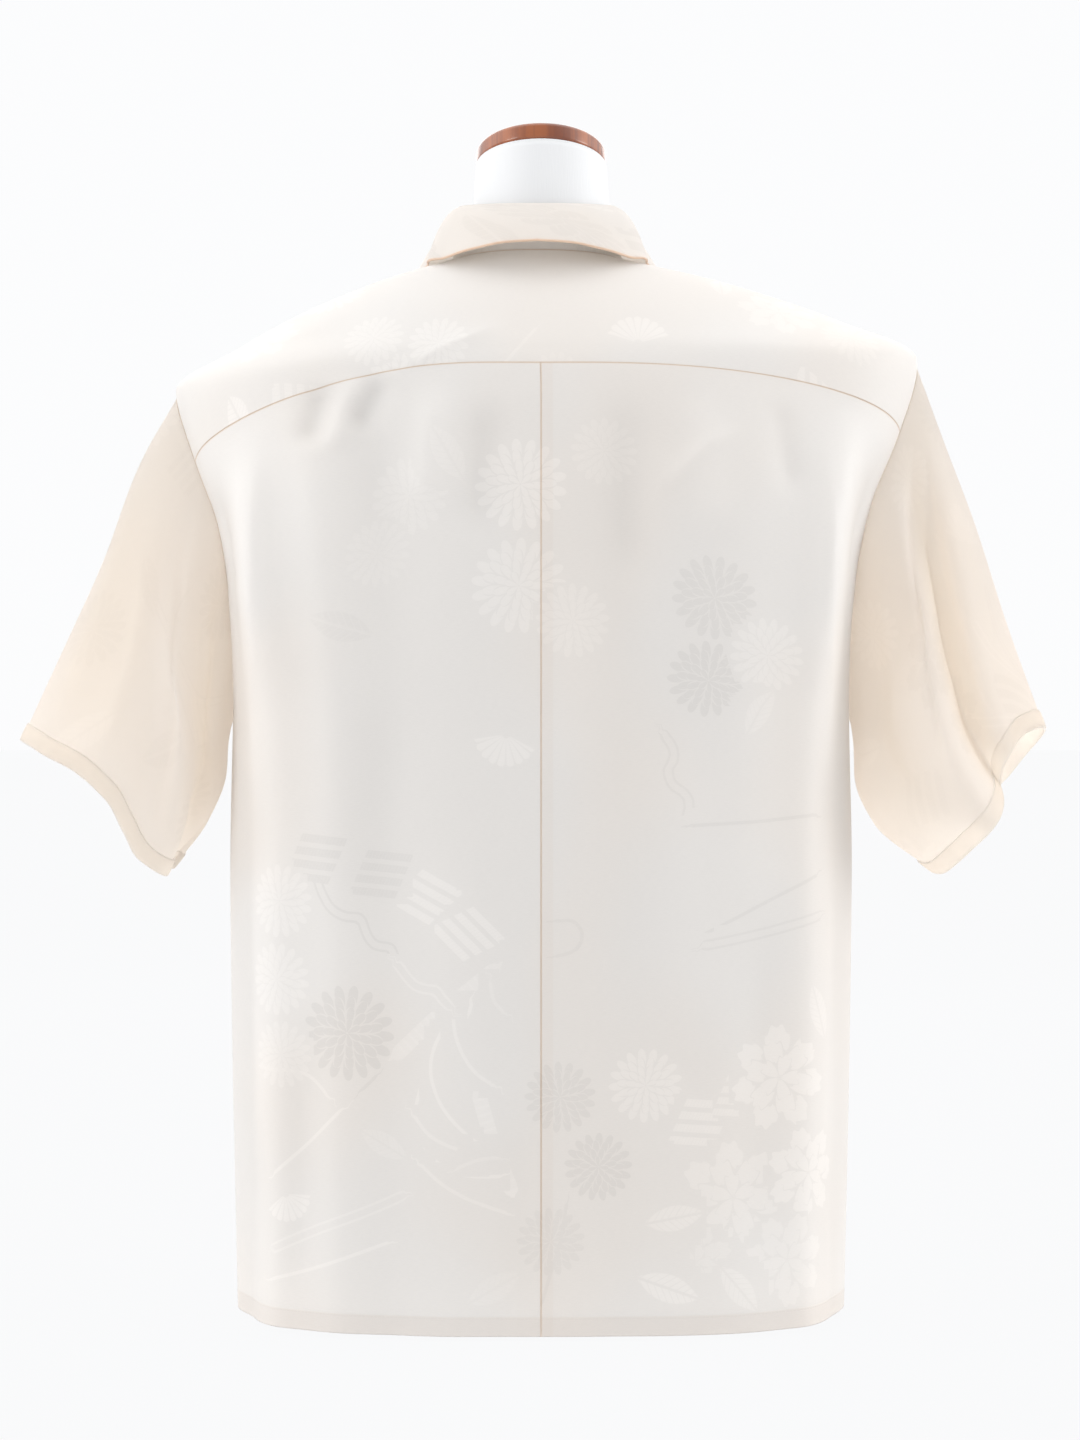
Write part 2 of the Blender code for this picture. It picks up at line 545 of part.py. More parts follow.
# ---------------------------------------------------------------- the sleeves
def sleeve_folds(name, run, turn):
    table = SLEEVE_FOLDS[name]
    height = np.zeros(np.broadcast(run, turn).shape)
    for at_top, at_hem, width, high, mid, low in table:
        middle = blend(at_top, at_hem, run)
        across = np.exp(-(((turn - middle) / width) ** 2))
        height = height + across * smooth_through((0, 0.5, 1), (high, mid, low), run)
    return height


def sleeve_surface(name, side, run, turn):
    """A sleeve's outer face. turn: 0 along the overarm, 90 at the back, 180 under the arm, -90 in front."""
    table = SLEEVES[name]
    values = {c: smooth_through(column(table, SLEEVE_COLUMNS, "run"), column(table, SLEEVE_COLUMNS, c), run)
              for c in SLEEVE_COLUMNS[1:]}
    angle = np.radians(turn)
    square = values["square"]
    radius = (np.abs(np.sin(angle)) ** square + np.abs(np.cos(angle)) ** square) ** (-1 / square)
    along, across = np.cos(angle) * radius, np.sin(angle) * radius
    half_x = (values["outer_x"] - values["inner_x"]) / 2
    half_z = (values["outer_z"] - values["inner_z"]) / 2
    swell = 1 + sleeve_folds(name, run, turn) / 0.07
    x = (values["outer_x"] + values["inner_x"]) / 2 + half_x * along * swell
    z = (values["outer_z"] + values["inner_z"]) / 2 + half_z * along * swell
    y = values["centre_y"] + values["depth"] * across * swell
    rise = smooth_through(column(HEM_RISE[name], HEM_RISE_COLUMNS, "degrees"),
                          column(HEM_RISE[name], HEM_RISE_COLUMNS, "rise"), turn) * run**2
    chord = np.hypot(half_x, half_z)
    return np.stack([(x - rise * half_z / chord) * side, y, z + rise * half_x / chord], axis=-1)


def sleeve(name, side):
    reach = np.concatenate([ARMHOLE_BACK[:0:-1], ARMHOLE_YOKE, ARMHOLE_FRONT[1:-1]])
    turn = reach * 180
    run = np.array([0, 0.04, 0.11, 0.20, 0.30, 0.42, 0.54, 0.66, 0.78, 0.90, 1.0])[:, None]
    tube = sleeve_surface(name, side, run, turn)
    degrees, ring = armhole_at(reach)
    armhole = body_point(side, degrees, ring, SLEEVE_GAP)
    away = tube[3] - armhole
    away /= np.linalg.norm(away, axis=-1, keepdims=True)
    start = armhole + away * SLEEVE_GAP
    points = blend(start + (tube - tube[0]) * 0.9, tube, ease(0, 0.30, run)[..., None])
    return cloth("sleeve_" + name, points, wraps=True, flipped=side < 0)


# ---------------------------------------------------------------- buttons
def front_ring(height):
    """The ring whose centre front is at that height."""
    rings = np.linspace(NECK_RING, HEM_RING, 1301)
    return float(np.interp(-height, -ring_value("front_z", rings), rings))


def button(name, ring, cutter_shape):
    degrees = np.array(180.0)
    lift = lap_lift(1, 180.0)
    seat = body_point(1, degrees, np.array(ring), lift + LAYER_GAP)
    normal = normal_of(smooth_body, degrees, np.array(ring))
    half = BUTTON_THICKNESS / 2
    profile = ((0.0, half * 0.5), (0.62, half * 0.5), (0.76, half), (0.92, half), (1.0, half * 0.4),
               (1.0, -half * 0.6), (0.9, -half), (0.0, -half))
    outline = bmesh.new()
    corners = [outline.verts.new((r * BUTTON_RADIUS, 0, z)) for r, z in profile]
    for before, after in zip(corners, corners[1:]):
        outline.edges.new((before, after))
    mesh = bpy.data.meshes.new(name)
    outline.to_mesh(mesh)
    outline.free()
    obj = put(name, mesh, material("shell_button", (0.78, 0.74, 0.66), 0.25))
    turned = obj.modifiers.new("turned", "SCREW")
    turned.steps = turned.render_steps = 14
    turned.use_merge_vertices = True
    turned.merge_threshold = 0.00005
    holes = obj.modifiers.new("holes", "BOOLEAN")
    holes.operation = "DIFFERENCE"
    holes.object = cutter_shape
    facing = Vector(normal).to_track_quat("Z", "X")
    obj.rotation_mode = "QUATERNION"
    obj.rotation_quaternion = facing
    obj.location = Vector(seat) + Vector(normal) * half
    cutter_shape.rotation_mode = "QUATERNION"
    cutter_shape.rotation_quaternion = facing
    cutter_shape.location = obj.location
    return obj


def hole_cutter(name):
    """Four pegs, where a button's sewing holes are."""
    pegs = bmesh.new()
    spread = BUTTON_RADIUS * 0.27
    for x, y in ((1, 1), (-1, 1), (-1, -1), (1, -1)):
        made = bmesh.ops.create_cone(pegs, cap_ends=True, segments=6, radius1=HOLE_RADIUS,
                                     radius2=HOLE_RADIUS, depth=3 * BUTTON_THICKNESS)
        bmesh.ops.translate(pegs, verts=made["verts"], vec=(x * spread, y * spread, 0))
    mesh = bpy.data.meshes.new(name)
    pegs.to_mesh(mesh)
    pegs.free()
    obj = bpy.data.objects.new(name, mesh)
    obj.hide_render = True
    obj.display_type = "WIRE"
    bpy.data.collections["cutters"].objects.link(obj)
    return obj


# ---------------------------------------------------------------- the dress form
def form_rings():
    degrees = np.linspace(0, 180, 17)
    mirrored = np.array([-1, 1, 1])

    def section(row):
        return section_point(degrees, lambda name: np.float64(row[RING_COLUMNS.index(name)]))

    pairs = [(points, points * mirrored) for points in map(section, FORM_NECK)]
    for points in pairs[0]:
        points[:, 2] = NECK_TOP + points[:, 1] * math.tan(NECK_SLANT)
    under = -WALL - SEAT_GAP - FRONT_AIR * ease(94, 116, degrees)
    for ring in FORM_SEAT_RINGS:
        pairs.append([body_point(side, degrees, ring, under) for side in (1, -1)])
    pairs += [(settle(points), settle(points * mirrored)) for points in map(section, FORM_BODY)]
    return np.array([np.concatenate([left, right[-2:0:-1]]) for left, right in pairs])


def form_torso():
    points = form_rings()
    solid = bmesh.new()
    corners = [[solid.verts.new(p) for p in ring] for ring in points]
    for upper, lower in zip(corners, corners[1:]):
        for c in range(len(upper)):
            after = (c + 1) % len(upper)
            solid.faces.new((upper[c], upper[after], lower[after], lower[c]))
    solid.faces.new(list(reversed(corners[0])))
    solid.faces.new(corners[-1])
    mesh = bpy.data.meshes.new("form_torso")
    solid.to_mesh(mesh)
    solid.free()
    return put("form_torso", mesh, material("form_cover", (0.80, 0.80, 0.80), 0.6), "dress_form")


def form_cap():
    height, edge, foot = CAP_THICKNESS, CAP_EDGE, CAP_FOOT_EDGE
    profile = [(0.0, height + 0.0015), (CAP_HALF_WIDTH * 0.6, height + 0.0009)]
    for turn in (90, 60, 30, 0):
        angle = math.radians(turn)
        profile.append((CAP_HALF_WIDTH - edge + edge * math.cos(angle), height - edge + edge * math.sin(angle)))
    for turn in (0, -45, -90):
        angle = math.radians(turn)
        profile.append((CAP_HALF_WIDTH - foot + foot * math.cos(angle), foot * (1 + math.sin(angle))))
    profile.append((0.0, 0.0))
    outline = bmesh.new()
    corners = [outline.verts.new((r, 0, z)) for r, z in profile]
    for before, after in zip(corners, corners[1:]):
        outline.edges.new((before, after))
    mesh = bpy.data.meshes.new("form_neck_cap")
    outline.to_mesh(mesh)
    outline.free()
    obj = put("form_neck_cap", mesh, material("varnished_wood", (0.45, 0.14, 0.04), 0.3), "dress_form")
    turned = obj.modifiers.new("turned", "SCREW")
    turned.steps = turned.render_steps = 30
    turned.use_merge_vertices = True
    turned.merge_threshold = 0.00005
    middle = (FORM_NECK[0][1] - FORM_NECK[0][5]) / 2
    obj.scale = (1, CAP_HALF_DEPTH / CAP_HALF_WIDTH, 1)
    obj.rotation_euler = (NECK_SLANT, 0, 0)
    obj.location = (0, middle, NECK_TOP + middle * math.tan(NECK_SLANT) + LAYER_GAP)
    return obj


def main():
    clear_scene()
    form_torso()
    form_cap()
    yoke()
    for name, side in (("left", 1), ("right", -1)):
        back_panel("back_" + name, side)
        front_panel("front_" + name, side)
        lapel(name, side)
        sleeve(name, side)
    collar()
    for number in range(BUTTON_COUNT):
        cutter = hole_cutter("button_holes_%d" % (number + 1))
        button("button_%d" % (number + 1), front_ring(BUTTON_TOP - BUTTON_SPACING * number), cutter)


main()
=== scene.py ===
"""A cream silk jacquard camp shirt on a limbless dress form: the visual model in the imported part's frame.

Metres, +Z up. The shirt's front faces -Y and the wearer's left is +X. Each sheet of cloth is a thin shell on the
surface that the part's solid has, with finer creases, seams, turned hems and the weave's own motifs.
"""

import math

import bmesh
import bpy
import numpy as np
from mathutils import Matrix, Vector


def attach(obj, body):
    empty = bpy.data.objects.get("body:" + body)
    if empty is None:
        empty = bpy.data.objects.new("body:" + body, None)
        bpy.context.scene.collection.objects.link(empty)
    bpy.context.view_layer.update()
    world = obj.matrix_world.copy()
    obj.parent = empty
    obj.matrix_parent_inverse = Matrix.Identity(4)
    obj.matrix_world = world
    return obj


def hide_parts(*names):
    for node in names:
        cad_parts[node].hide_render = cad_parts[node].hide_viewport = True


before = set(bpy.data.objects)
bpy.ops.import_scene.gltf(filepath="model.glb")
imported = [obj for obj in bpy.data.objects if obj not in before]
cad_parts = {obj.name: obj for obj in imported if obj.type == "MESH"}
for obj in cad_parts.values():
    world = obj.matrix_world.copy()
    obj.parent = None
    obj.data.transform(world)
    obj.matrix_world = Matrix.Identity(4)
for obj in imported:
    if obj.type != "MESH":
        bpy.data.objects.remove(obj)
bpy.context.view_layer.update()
FINE = 1      # share of the full number of rows and columns

# ---------------------------------------------------------------- driving sizes
WALL = 0.0015                # cloth, with what the seams and folds add
SEAM_GAP = 0.0001            # between two panels that are sewn together
LAYER_GAP = 0.0004           # between a panel and what lies on it
SLEEVE_GAP = 0.0002          # between an armhole's edge and the sleeve's, on the outer side
SEAT_GAP = 0.0010            # between the form's shoulders and the cloth that they carry

SHOULDER_HALF = 0.2520       # centre line to the shoulder tip, along X
BODY_HALF_WIDTH = 0.205      # the hanging body, at the chest
BACK_DEPTH = 0.137           # the hanging back, behind the form's axis
FRONT_DEPTH = 0.130
HEM_HEIGHT = 0.003           # the shirt's hem above the surface that the form stands on
ARMPIT_HEIGHT = 0.400
OVERLAP_HALF = 0.017         # how far each front edge passes the centre front
NECK_SHIFT = 0.0025          # the neckline sits this far to the left
LEFT_DRAW = 0.009            # the left armhole is drawn in towards the neck by this
LEFT_DROOP = 0.021           # the left shoulder tip lies lower than the right one by this
NECK_SLANT = math.radians(14)  # the form's neck is cut sloping down to the front
BUTTON_COUNT = 5
BUTTON_TOP = 0.528           # the top button's height
BUTTON_SPACING = 0.096       # from one button down to the next
HOLE_RADIUS = 0.0008         # a sewing hole through a button
BUTTON_RADIUS = 0.0057
BUTTON_THICKNESS = 0.0022

# ---------------------------------------------------------------- tables
# The rings of the shirt's body, from the neckline to the hem. back_z, back_y: the centre back.
# side_x, side_z: over the shoulder, or the side seam. front_z, front_y: the centre front.
# back_n, front_n: how square the corner is.
RING_COLUMNS = ("back_z", "back_y", "side_x", "side_z", "front_z", "front_y", "back_n", "front_n")
RINGS = (
    (0.7000, 0.0600, 0.0580, 0.6990, 0.6500, 0.0620, 2.1, 2.1),   # 0 neckline
    (0.6830, 0.0800, 0.1120, 0.6880, 0.6290, 0.0820, 2.1, 2.1),   # 1
    (0.6640, 0.0990, 0.1580, 0.6745, 0.6080, 0.0990, 2.2, 2.2),   # 2
    (0.6440, 0.1130, 0.2060, 0.6560, 0.5870, 0.1120, 2.5, 2.5),   # 3
    (0.6300, 0.1210, SHOULDER_HALF, 0.6310, 0.5650, 0.1200, 2.9, 2.9),   # 4 shoulder tip
    (0.6190, 0.1255, 0.2390, 0.5800, 0.5400, 0.1250, 3.4, 3.2),   # 5 yoke seam
    (0.5850, 0.1320, 0.2190, 0.5340, 0.5100, 0.1285, 4.2, 3.8),   # 6
    (0.5300, 0.1360, 0.2070, 0.4850, 0.4700, FRONT_DEPTH, 4.6, 3.8),   # 7
    (0.4600, BACK_DEPTH, 0.2035, 0.4370, 0.4280, FRONT_DEPTH, 4.0, 3.4),   # 8
    (ARMPIT_HEIGHT, BACK_DEPTH, 0.2040, ARMPIT_HEIGHT, ARMPIT_HEIGHT, 0.1290, 3.4, 3.0),   # 9 armpit
    (0.3000, BACK_DEPTH, BODY_HALF_WIDTH + 0.002, 0.3000, 0.3000, 0.1275, 3.0, 2.8),   # 10
    (0.2000, BACK_DEPTH, BODY_HALF_WIDTH + 0.001, 0.2000, 0.2000, 0.1265, 3.0, 2.8),   # 11
    (0.1000, BACK_DEPTH + 0.001, BODY_HALF_WIDTH - 0.001, 0.1010, 0.1000, 0.1265, 3.1, 2.9),   # 12
    (HEM_HEIGHT, BACK_DEPTH + 0.002, BODY_HALF_WIDTH - 0.0035, HEM_HEIGHT + 0.002,
     HEM_HEIGHT, 0.1270, 3.3, 3.0),   # 13 hem
)
NECK_RING, TIP_RING, YOKE_RING, PIT_RING, HEM_RING = 0.0, 4.0, 5.0, 9.0, 13.0
SAG_POWER = 2.6              # how late along a ring its height leaves the centre back's

# The armhole, from the shoulder tip (reach 0) to the armpit (reach 1): the ring, and the degrees that it lies
# behind or before the side line.
ARMHOLE_COLUMNS = ("reach", "ring", "back_degrees", "front_degrees")
ARMHOLE = (
    (0.00, TIP_RING, 0.0, 0.0),
    (0.12, 4.12, 8.0, 8.0),
    (0.26, 4.55, 17.0, 17.0),
    (0.40, 5.20, 23.5, 24.0),
    (0.55, 6.15, 25.0, 27.0),
    (0.70, 7.20, 21.0, 24.0),
    (0.85, 8.25, 13.5, 16.0),
    (0.95, 8.85, 6.0, 7.5),
    (1.00, PIT_RING, 0.0, 0.0),
)
YOKE_END_REACH = 0.36        # where the yoke's back seam meets the armhole
FRONT_SEAM_REACH = -0.15     # where the yoke's front seam meets it, before the shoulder tip
YOKE_SEAM_BOW = 0.14         # how far that seam bows up on its way there, as rings
SEAM_HALF_RING = 0.002       # half the gap along the yoke's seams, as rings
# The reaches of the armhole, and the rings below it, at the rows of the panels' outer edges.
ARMHOLE_BACK = np.array((YOKE_END_REACH, 0.40, 0.44, 0.48, 0.525, 0.58, 0.645, 0.72, 0.80, 0.90, 1))
ARMHOLE_FRONT = np.linspace(FRONT_SEAM_REACH, -1, 13)
BELOW_PIT = np.linspace(PIT_RING, HEM_RING, 8)[1:]

# The front's inner edge, from the yoke's front seam along the neckline, down the lapel's roll and the
# lapped edge. share: how far down from the seam to the armpit's ring. x: from the centre front, towards
# the front's own side.
FRONT_EDGE_COLUMNS = ("share", "x", "ring")
FRONT_EDGE = (
    (0.00, 0.0535, 0.0),
    (0.10, 0.0500, 0.0),
    (0.20, 0.0455, 0.1),
    (0.36, 0.0286, 1.4),
    (0.48, 0.0143, 2.5),
    (0.60, -0.0014, 3.7),
    (0.72, -OVERLAP_HALF, 4.9),
    (0.80, -OVERLAP_HALF, 5.9),
    (1.00, -OVERLAP_HALF, PIT_RING),
)
# A lapel's corners, as x and ring: where its roll leaves the neckline, where it ends above the top
# button, and its point.
LAPEL_TOP = (0.0455, 0.16)
LAPEL_FOOT = {"left": (-0.0160, 4.85), "right": (0.0025, 3.50)}
LAPEL_POINT = (0.0980, 2.05)
LAPEL_BOW = (0.004, 0.15)    # how far its free edge bows out, as x and ring
LAPEL_LENGTH = 0.96          # the share of the way from its top to its foot that is built
LAPEL_CROWN = 0.002          # how far its middle stands off the front

# The collar round the neckline, half of it. stand: its roll above the neckline. lean: how far the roll
# leans in. edge_degrees, edge_ring, edge_lift: where its falling edge hangs, over the body's surface.
COLLAR_COLUMNS = ("degrees", "stand", "lean", "edge_degrees", "edge_ring", "edge_lift")
COLLAR = (
    (0.0, 0.0275, 0.004, 0.0, 0.80, 0.0190),
    (12.0, 0.0277, 0.004, 11.0, 0.79, 0.0172),
    (25.0, 0.0282, 0.004, 23.0, 0.77, 0.0118),
    (48.0, 0.0300, 0.005, 45.0, 0.56, 0.0026),
    (70.0, 0.0320, 0.004, 69.0, 0.34, 0.0018),
    (90.0, 0.0310, 0.0045, 91.0, 0.28, 0.0025),
    (108.0, 0.0205, 0.004, 113.0, 0.72, 0.0025),
    (127.0, 0.0100, 0.002, 133.5, 1.72, 0.0036),
)
COLLAR_ROLL = 0.0036         # the roll's radius
COLLAR_TURN = 135            # the degrees that the cloth turns over it
COLLAR_KNEE = (0.55, 0.55, 0.12)    # where the fall bends, as shares of the way from the roll to its edge

# Folds of the body. Each row is the side, the middle and width in degrees round the ring, the height (a trough's is
# negative), and the rings where the fold starts, where it is full and where it has sunk.
BODY_FOLDS = (
    (1, 47.0, 4.0, 0.0060, 5.0, 6.2, 9.2),
    (-1, 47.0, 4.0, 0.0060, 5.0, 6.2, 9.2),
    (1, 58.0, 4.5, -0.0050, 5.2, 6.4, 8.8),
    (-1, 58.0, 4.5, -0.0050, 5.2, 6.4, 8.8),
    (1, 16.0, 4.5, 0.0030, 5.0, 6.2, 9.5),
    (1, 26.0, 4.0, -0.0035, 5.0, 6.0, 9.0),
    (1, 35.0, 3.5, 0.0030, 5.0, 6.4, 10.5),
    (-1, 14.0, 5.0, -0.0025, 5.0, 7.0, 10.0),
    (-1, 33.0, 5.0, 0.0030, 5.0, 6.5, 11.0),
    (1, 62.0, 7.0, -0.0060, 9.2, 10.8, 13.8),
    (-1, 64.0, 7.0, -0.0050, 9.2, 10.8, 13.8),
    (1, 128.0, 6.0, 0.0060, 5.5, 8.5, 13.8),
    (-1, 126.0, 6.0, 0.0060, 5.5, 8.5, 13.8),
    (1, 145.0, 7.0, -0.0050, 6.5, 9.5, 13.8),
    (-1, 147.0, 7.0, -0.0050, 6.5, 9.5, 13.8),
)
FOLD_SUNK = 0.6              # the share of its height that a fold loses on the way down

# A sleeve's rings, from the armhole (run 0) to its hem (run 1). outer_x, outer_z: the overarm line.
# inner_x, inner_z: the underarm seam. depth: half the front-to-back size. square: the corner exponent.
SLEEVE_COLUMNS = ("run", "outer_x", "outer_z", "inner_x", "inner_z", "depth", "centre_y", "square")
SLEEVES = {
    "left": (
        (0.00, 0.2440, 0.6100, 0.2060, 0.4000, 0.0500, 0.004, 2.2),
        (0.18, 0.2680, 0.5650, 0.2105, 0.3830, 0.0660, 0.005, 2.3),
        (0.42, 0.2920, 0.5000, 0.2120, 0.3560, 0.0740, 0.006, 2.3),
        (0.70, 0.3180, 0.4430, 0.2240, 0.3240, 0.0720, 0.006, 2.2),
        (1.00, 0.3480, 0.3780, 0.2480, 0.2920, 0.0660, 0.006, 2.2),
    ),
    "right": (
        (0.00, 0.2520, 0.6290, 0.2060, 0.4000, 0.0500, 0.004, 2.2),
        (0.18, 0.2690, 0.5800, 0.2105, 0.3830, 0.0660, 0.006, 2.3),
        (0.42, 0.2910, 0.5200, 0.2110, 0.3540, 0.0770, 0.008, 2.3),
        (0.70, 0.3120, 0.4560, 0.2240, 0.3220, 0.0780, 0.008, 2.2),
        (1.00, 0.3380, 0.3850, 0.2640, 0.2900, 0.0730, 0.008, 2.2),
    ),
}
# Folds of a sleeve. Each row is where it lies at the top and at the hem, in degrees round the sleeve from the overarm
# line to the back, its width in degrees, and its height at the top, halfway and at the hem.
SLEEVE_FOLDS = {
    "left": (
        (46.0, 60.0, 22.0, 0.000, -0.005, -0.004),
        (82.0, 150.0, 15.0, 0.003, 0.011, 0.009),
        (120.0, 176.0, 13.0, 0.000, -0.012, -0.004),
        (-72.0, -66.0, 16.0, 0.000, -0.011, -0.010),
        (-106.0, -104.0, 11.0, 0.002, 0.008, 0.007),
    ),
    "right": (
        (66.0, 80.0, 12.0, 0.000, -0.018, -0.020),
        (84.0, 106.0, 12.0, 0.002, 0.008, 0.009),
        (132.0, 140.0, 18.0, 0.000, -0.007, -0.002),
        (-66.0, -60.0, 16.0, 0.000, -0.012, -0.012),
        (-104.0, -100.0, 12.0, 0.002, 0.008, 0.007),
    ),
}
# How far a sleeve's hem is drawn up, round the sleeve.
HEM_RISE_COLUMNS = ("degrees", "rise")
HEM_RISE = {
    "left": ((-180, 0), (-90, 0.002), (0, 0), (43, 0.006), (80, 0.014), (96, 0.013), (116, 0.004),
             (134, -0.004), (152, -0.003), (180, 0)),
    "right": ((-180, 0), (-120, -0.003), (-73, -0.0065), (-40, -0.006), (0, 0), (30, 0.010), (52, 0.017),
              (66, 0.015), (78, 0.007), (90, 0.000), (104, -0.003), (126, -0.003), (154, -0.003), (180, 0)),
}

# The dress form's rings, from its neck to its foot, like the shirt's. Between the neck and the foot it
# carries the shirt's shoulders, on the rings named in FORM_SEAT_RINGS.
NECK_TOP = 0.7642            # the neck's cut, on the form's axis
FORM_NECK = (
    (NECK_TOP, 0.0450, 0.0437, NECK_TOP, NECK_TOP, 0.0520, 2.0, 2.0),
    (0.7500, 0.0470, 0.0452, 0.7440, 0.7330, 0.0530, 2.0, 2.0),
    (0.7250, 0.0485, 0.0462, 0.7210, 0.7050, 0.0535, 2.0, 2.0),
    (0.7050, 0.0500, 0.0468, 0.7050, 0.6760, 0.0535, 2.0, 2.0),
    (0.6880, 0.0525, 0.0495, 0.6925, 0.6440, 0.0550, 2.0, 2.0),
)
FRONT_AIR = 0.004            # more room under the fronts than under the yoke, which carries the shirt
FORM_SEAT_RINGS = (0.45, 0.95, 1.50, 2.10, 2.60)
FORM_BODY = (
    (0.6260, 0.1100, 0.1820, 0.6450, 0.5720, 0.1010, 2.4, 2.2),
    (0.5950, 0.1140, 0.1820, 0.6230, 0.5450, 0.1060, 2.4, 2.2),
    (0.5500, 0.1170, 0.1800, 0.5850, 0.5150, 0.1150, 2.5, 2.5),
    (0.4800, 0.1130, 0.1730, 0.5100, 0.4500, 0.1160, 2.4, 2.4),
    (0.3900, 0.1030, 0.1620, 0.4100, 0.3700, 0.1080, 2.3, 2.3),
    (0.2900, 0.0950, 0.1480, 0.2950, 0.2800, 0.0960, 2.3, 2.3),
    (0.2000, 0.1020, 0.1560, 0.2000, 0.1950, 0.0970, 2.3, 2.3),
    (0.1100, 0.1130, 0.1690, 0.1100, 0.1080, 0.1010, 2.4, 2.4),
    (0.0300, 0.1140, 0.1720, 0.0300, 0.0300, 0.1020, 2.4, 2.4),
    (0.0040, 0.1130, 0.1710, 0.0040, 0.0040, 0.1010, 2.4, 2.4),
    (0.0000, 0.1090, 0.1670, 0.0000, 0.0000, 0.0970, 2.4, 2.4),
)
CAP_THICKNESS = 0.0120
CAP_HALF_WIDTH = 0.0437
CAP_HALF_DEPTH = 0.0500
CAP_EDGE = 0.0035
CAP_FOOT_EDGE = 0.0021


# ---------------------------------------------------------------- reading the tables
def column(table, names, name):
    return np.array([row[names.index(name)] for row in table], float)


def smooth_through(stations, values, at):
    """A curve through (stations, values) that doesn't swing past them, read at each of at."""
    stations, values, at = (np.asarray(v, float) for v in (stations, values, at))
    steps = np.diff(stations)
    slopes = np.diff(values) / steps
    tangents = np.zeros_like(values)
    before, after = slopes[:-1], slopes[1:]
    same_way = before * after > 0
    total = steps[:-1] + steps[1:]
    weight_before = (total + steps[1:]) / (3 * total)
    weight_after = (total + steps[:-1]) / (3 * total)
    with np.errstate(divide="ignore", invalid="ignore"):
        inner = 1 / (weight_before / before + weight_after / after)
    tangents[1:-1] = np.where(same_way, inner, 0.0)
    tangents[0], tangents[-1] = slopes[0], slopes[-1]
    i = np.clip(np.searchsorted(stations, at, side="right") - 1, 0, len(steps) - 1)
    h = steps[i]
    f = np.clip((at - stations[i]) / h, 0, 1)
    return (
        (2 * f**3 - 3 * f**2 + 1) * values[i]
        + (f**3 - 2 * f**2 + f) * h * tangents[i]
        + (3 * f**2 - 2 * f**3) * values[i + 1]
        + (f**3 - f**2) * h * tangents[i + 1]
    )


def curve(table, names, name, at):
    """The table's named column as a smooth curve over its first column, read at each of at."""
    return smooth_through(column(table, names, names[0]), column(table, names, name), at)


def ease(low, high, at):
    """0 below low, 1 above high, and smooth between."""
    f = np.clip((np.asarray(at, float) - low) / (high - low), 0, 1)
    return f * f * (3 - 2 * f)


def blend(a, b, share):
    return a + (b - a) * share


# ---------------------------------------------------------------- the shirt's body surface
def ring_value(name, ring):
    return smooth_through(range(len(RINGS)), column(RINGS, RING_COLUMNS, name), ring)


def fold_height(side, degrees, ring):
    """How far the body's folds lift the cloth here."""
    height = np.zeros(np.broadcast(degrees, ring).shape)
    for fold_side, middle, width, lift, top, full, end in BODY_FOLDS:
        if fold_side == side:
            across = np.exp(-(((degrees - middle) / width) ** 2))
            height = height + lift * across * ease(top, full, ring) * (1 - ease(full, end, ring) * FOLD_SUNK)
    return height


def settle(points):
    """The shirt sits a little askew: its neck is off the middle, and its left shoulder hangs lower."""
    x, z = points[..., 0], points[..., 2]
    moved = points.copy()
    drawn = LEFT_DRAW * ease(0.15, 0.25, x) * ease(0.44, 0.58, z)
    moved[..., 0] = x + NECK_SHIFT * ease(0.60, 0.68, z) - drawn
    moved[..., 2] = z - LEFT_DROOP * ease(0.04, 0.27, x) * ease(0.36, 0.60, z)
    return moved


def section_point(degrees, section):
    """A point of one ring, or of many, on the +X side. section maps a column's name to its value or values."""
    angle = np.radians(degrees)
    at_back = degrees <= 90
    square = np.where(at_back, section("back_n"), section("front_n"))
    sine, cosine = np.abs(np.sin(angle)), np.abs(np.cos(angle))
    radius = (sine**square + cosine**square) ** (-1 / square)
    across, along = np.sin(angle) * radius, cosine * radius
    depth = np.where(at_back, section("back_y"), -section("front_y"))
    centre_z = np.where(at_back, section("back_z"), section("front_z"))
    side_z = section("side_z")
    height = side_z + (centre_z - side_z) * (1 - np.abs(across) ** SAG_POWER)
    return np.stack([section("side_x") * across, depth * along, height], axis=-1)


def smooth_body(degrees, ring):
    """The body without folds, on the +X side."""
    degrees, ring = np.broadcast_arrays(np.asarray(degrees, float), np.asarray(ring, float))
    return section_point(degrees, lambda name: ring_value(name, ring))


def normal_of(surface, degrees, ring):
    """The outward normal of a surface of (degrees, ring)."""
    small_turn, small_ring = 0.25, 0.01
    low = np.clip(ring - small_ring, 0, HEM_RING - 2 * small_ring)
    along = surface(degrees, low + 2 * small_ring) - surface(degrees, low)
    around = surface(degrees + small_turn, ring) - surface(degrees - small_turn, ring)
    normal = np.cross(around, along)
    return normal / np.linalg.norm(normal, axis=-1, keepdims=True)


def body_point(side, degrees, ring, lift=0.0):
    """A point of the shirt's outer face on the wearer's left (side 1) or right (-1), moved out by lift."""
    degrees, ring = np.broadcast_arrays(np.asarray(degrees, float), np.asarray(ring, float))
    raised = np.asarray(fold_height(side, degrees, ring) + lift)[..., None]
    points = smooth_body(degrees, ring) + normal_of(smooth_body, degrees, ring) * raised
    points[..., 0] *= side
    return settle(points)


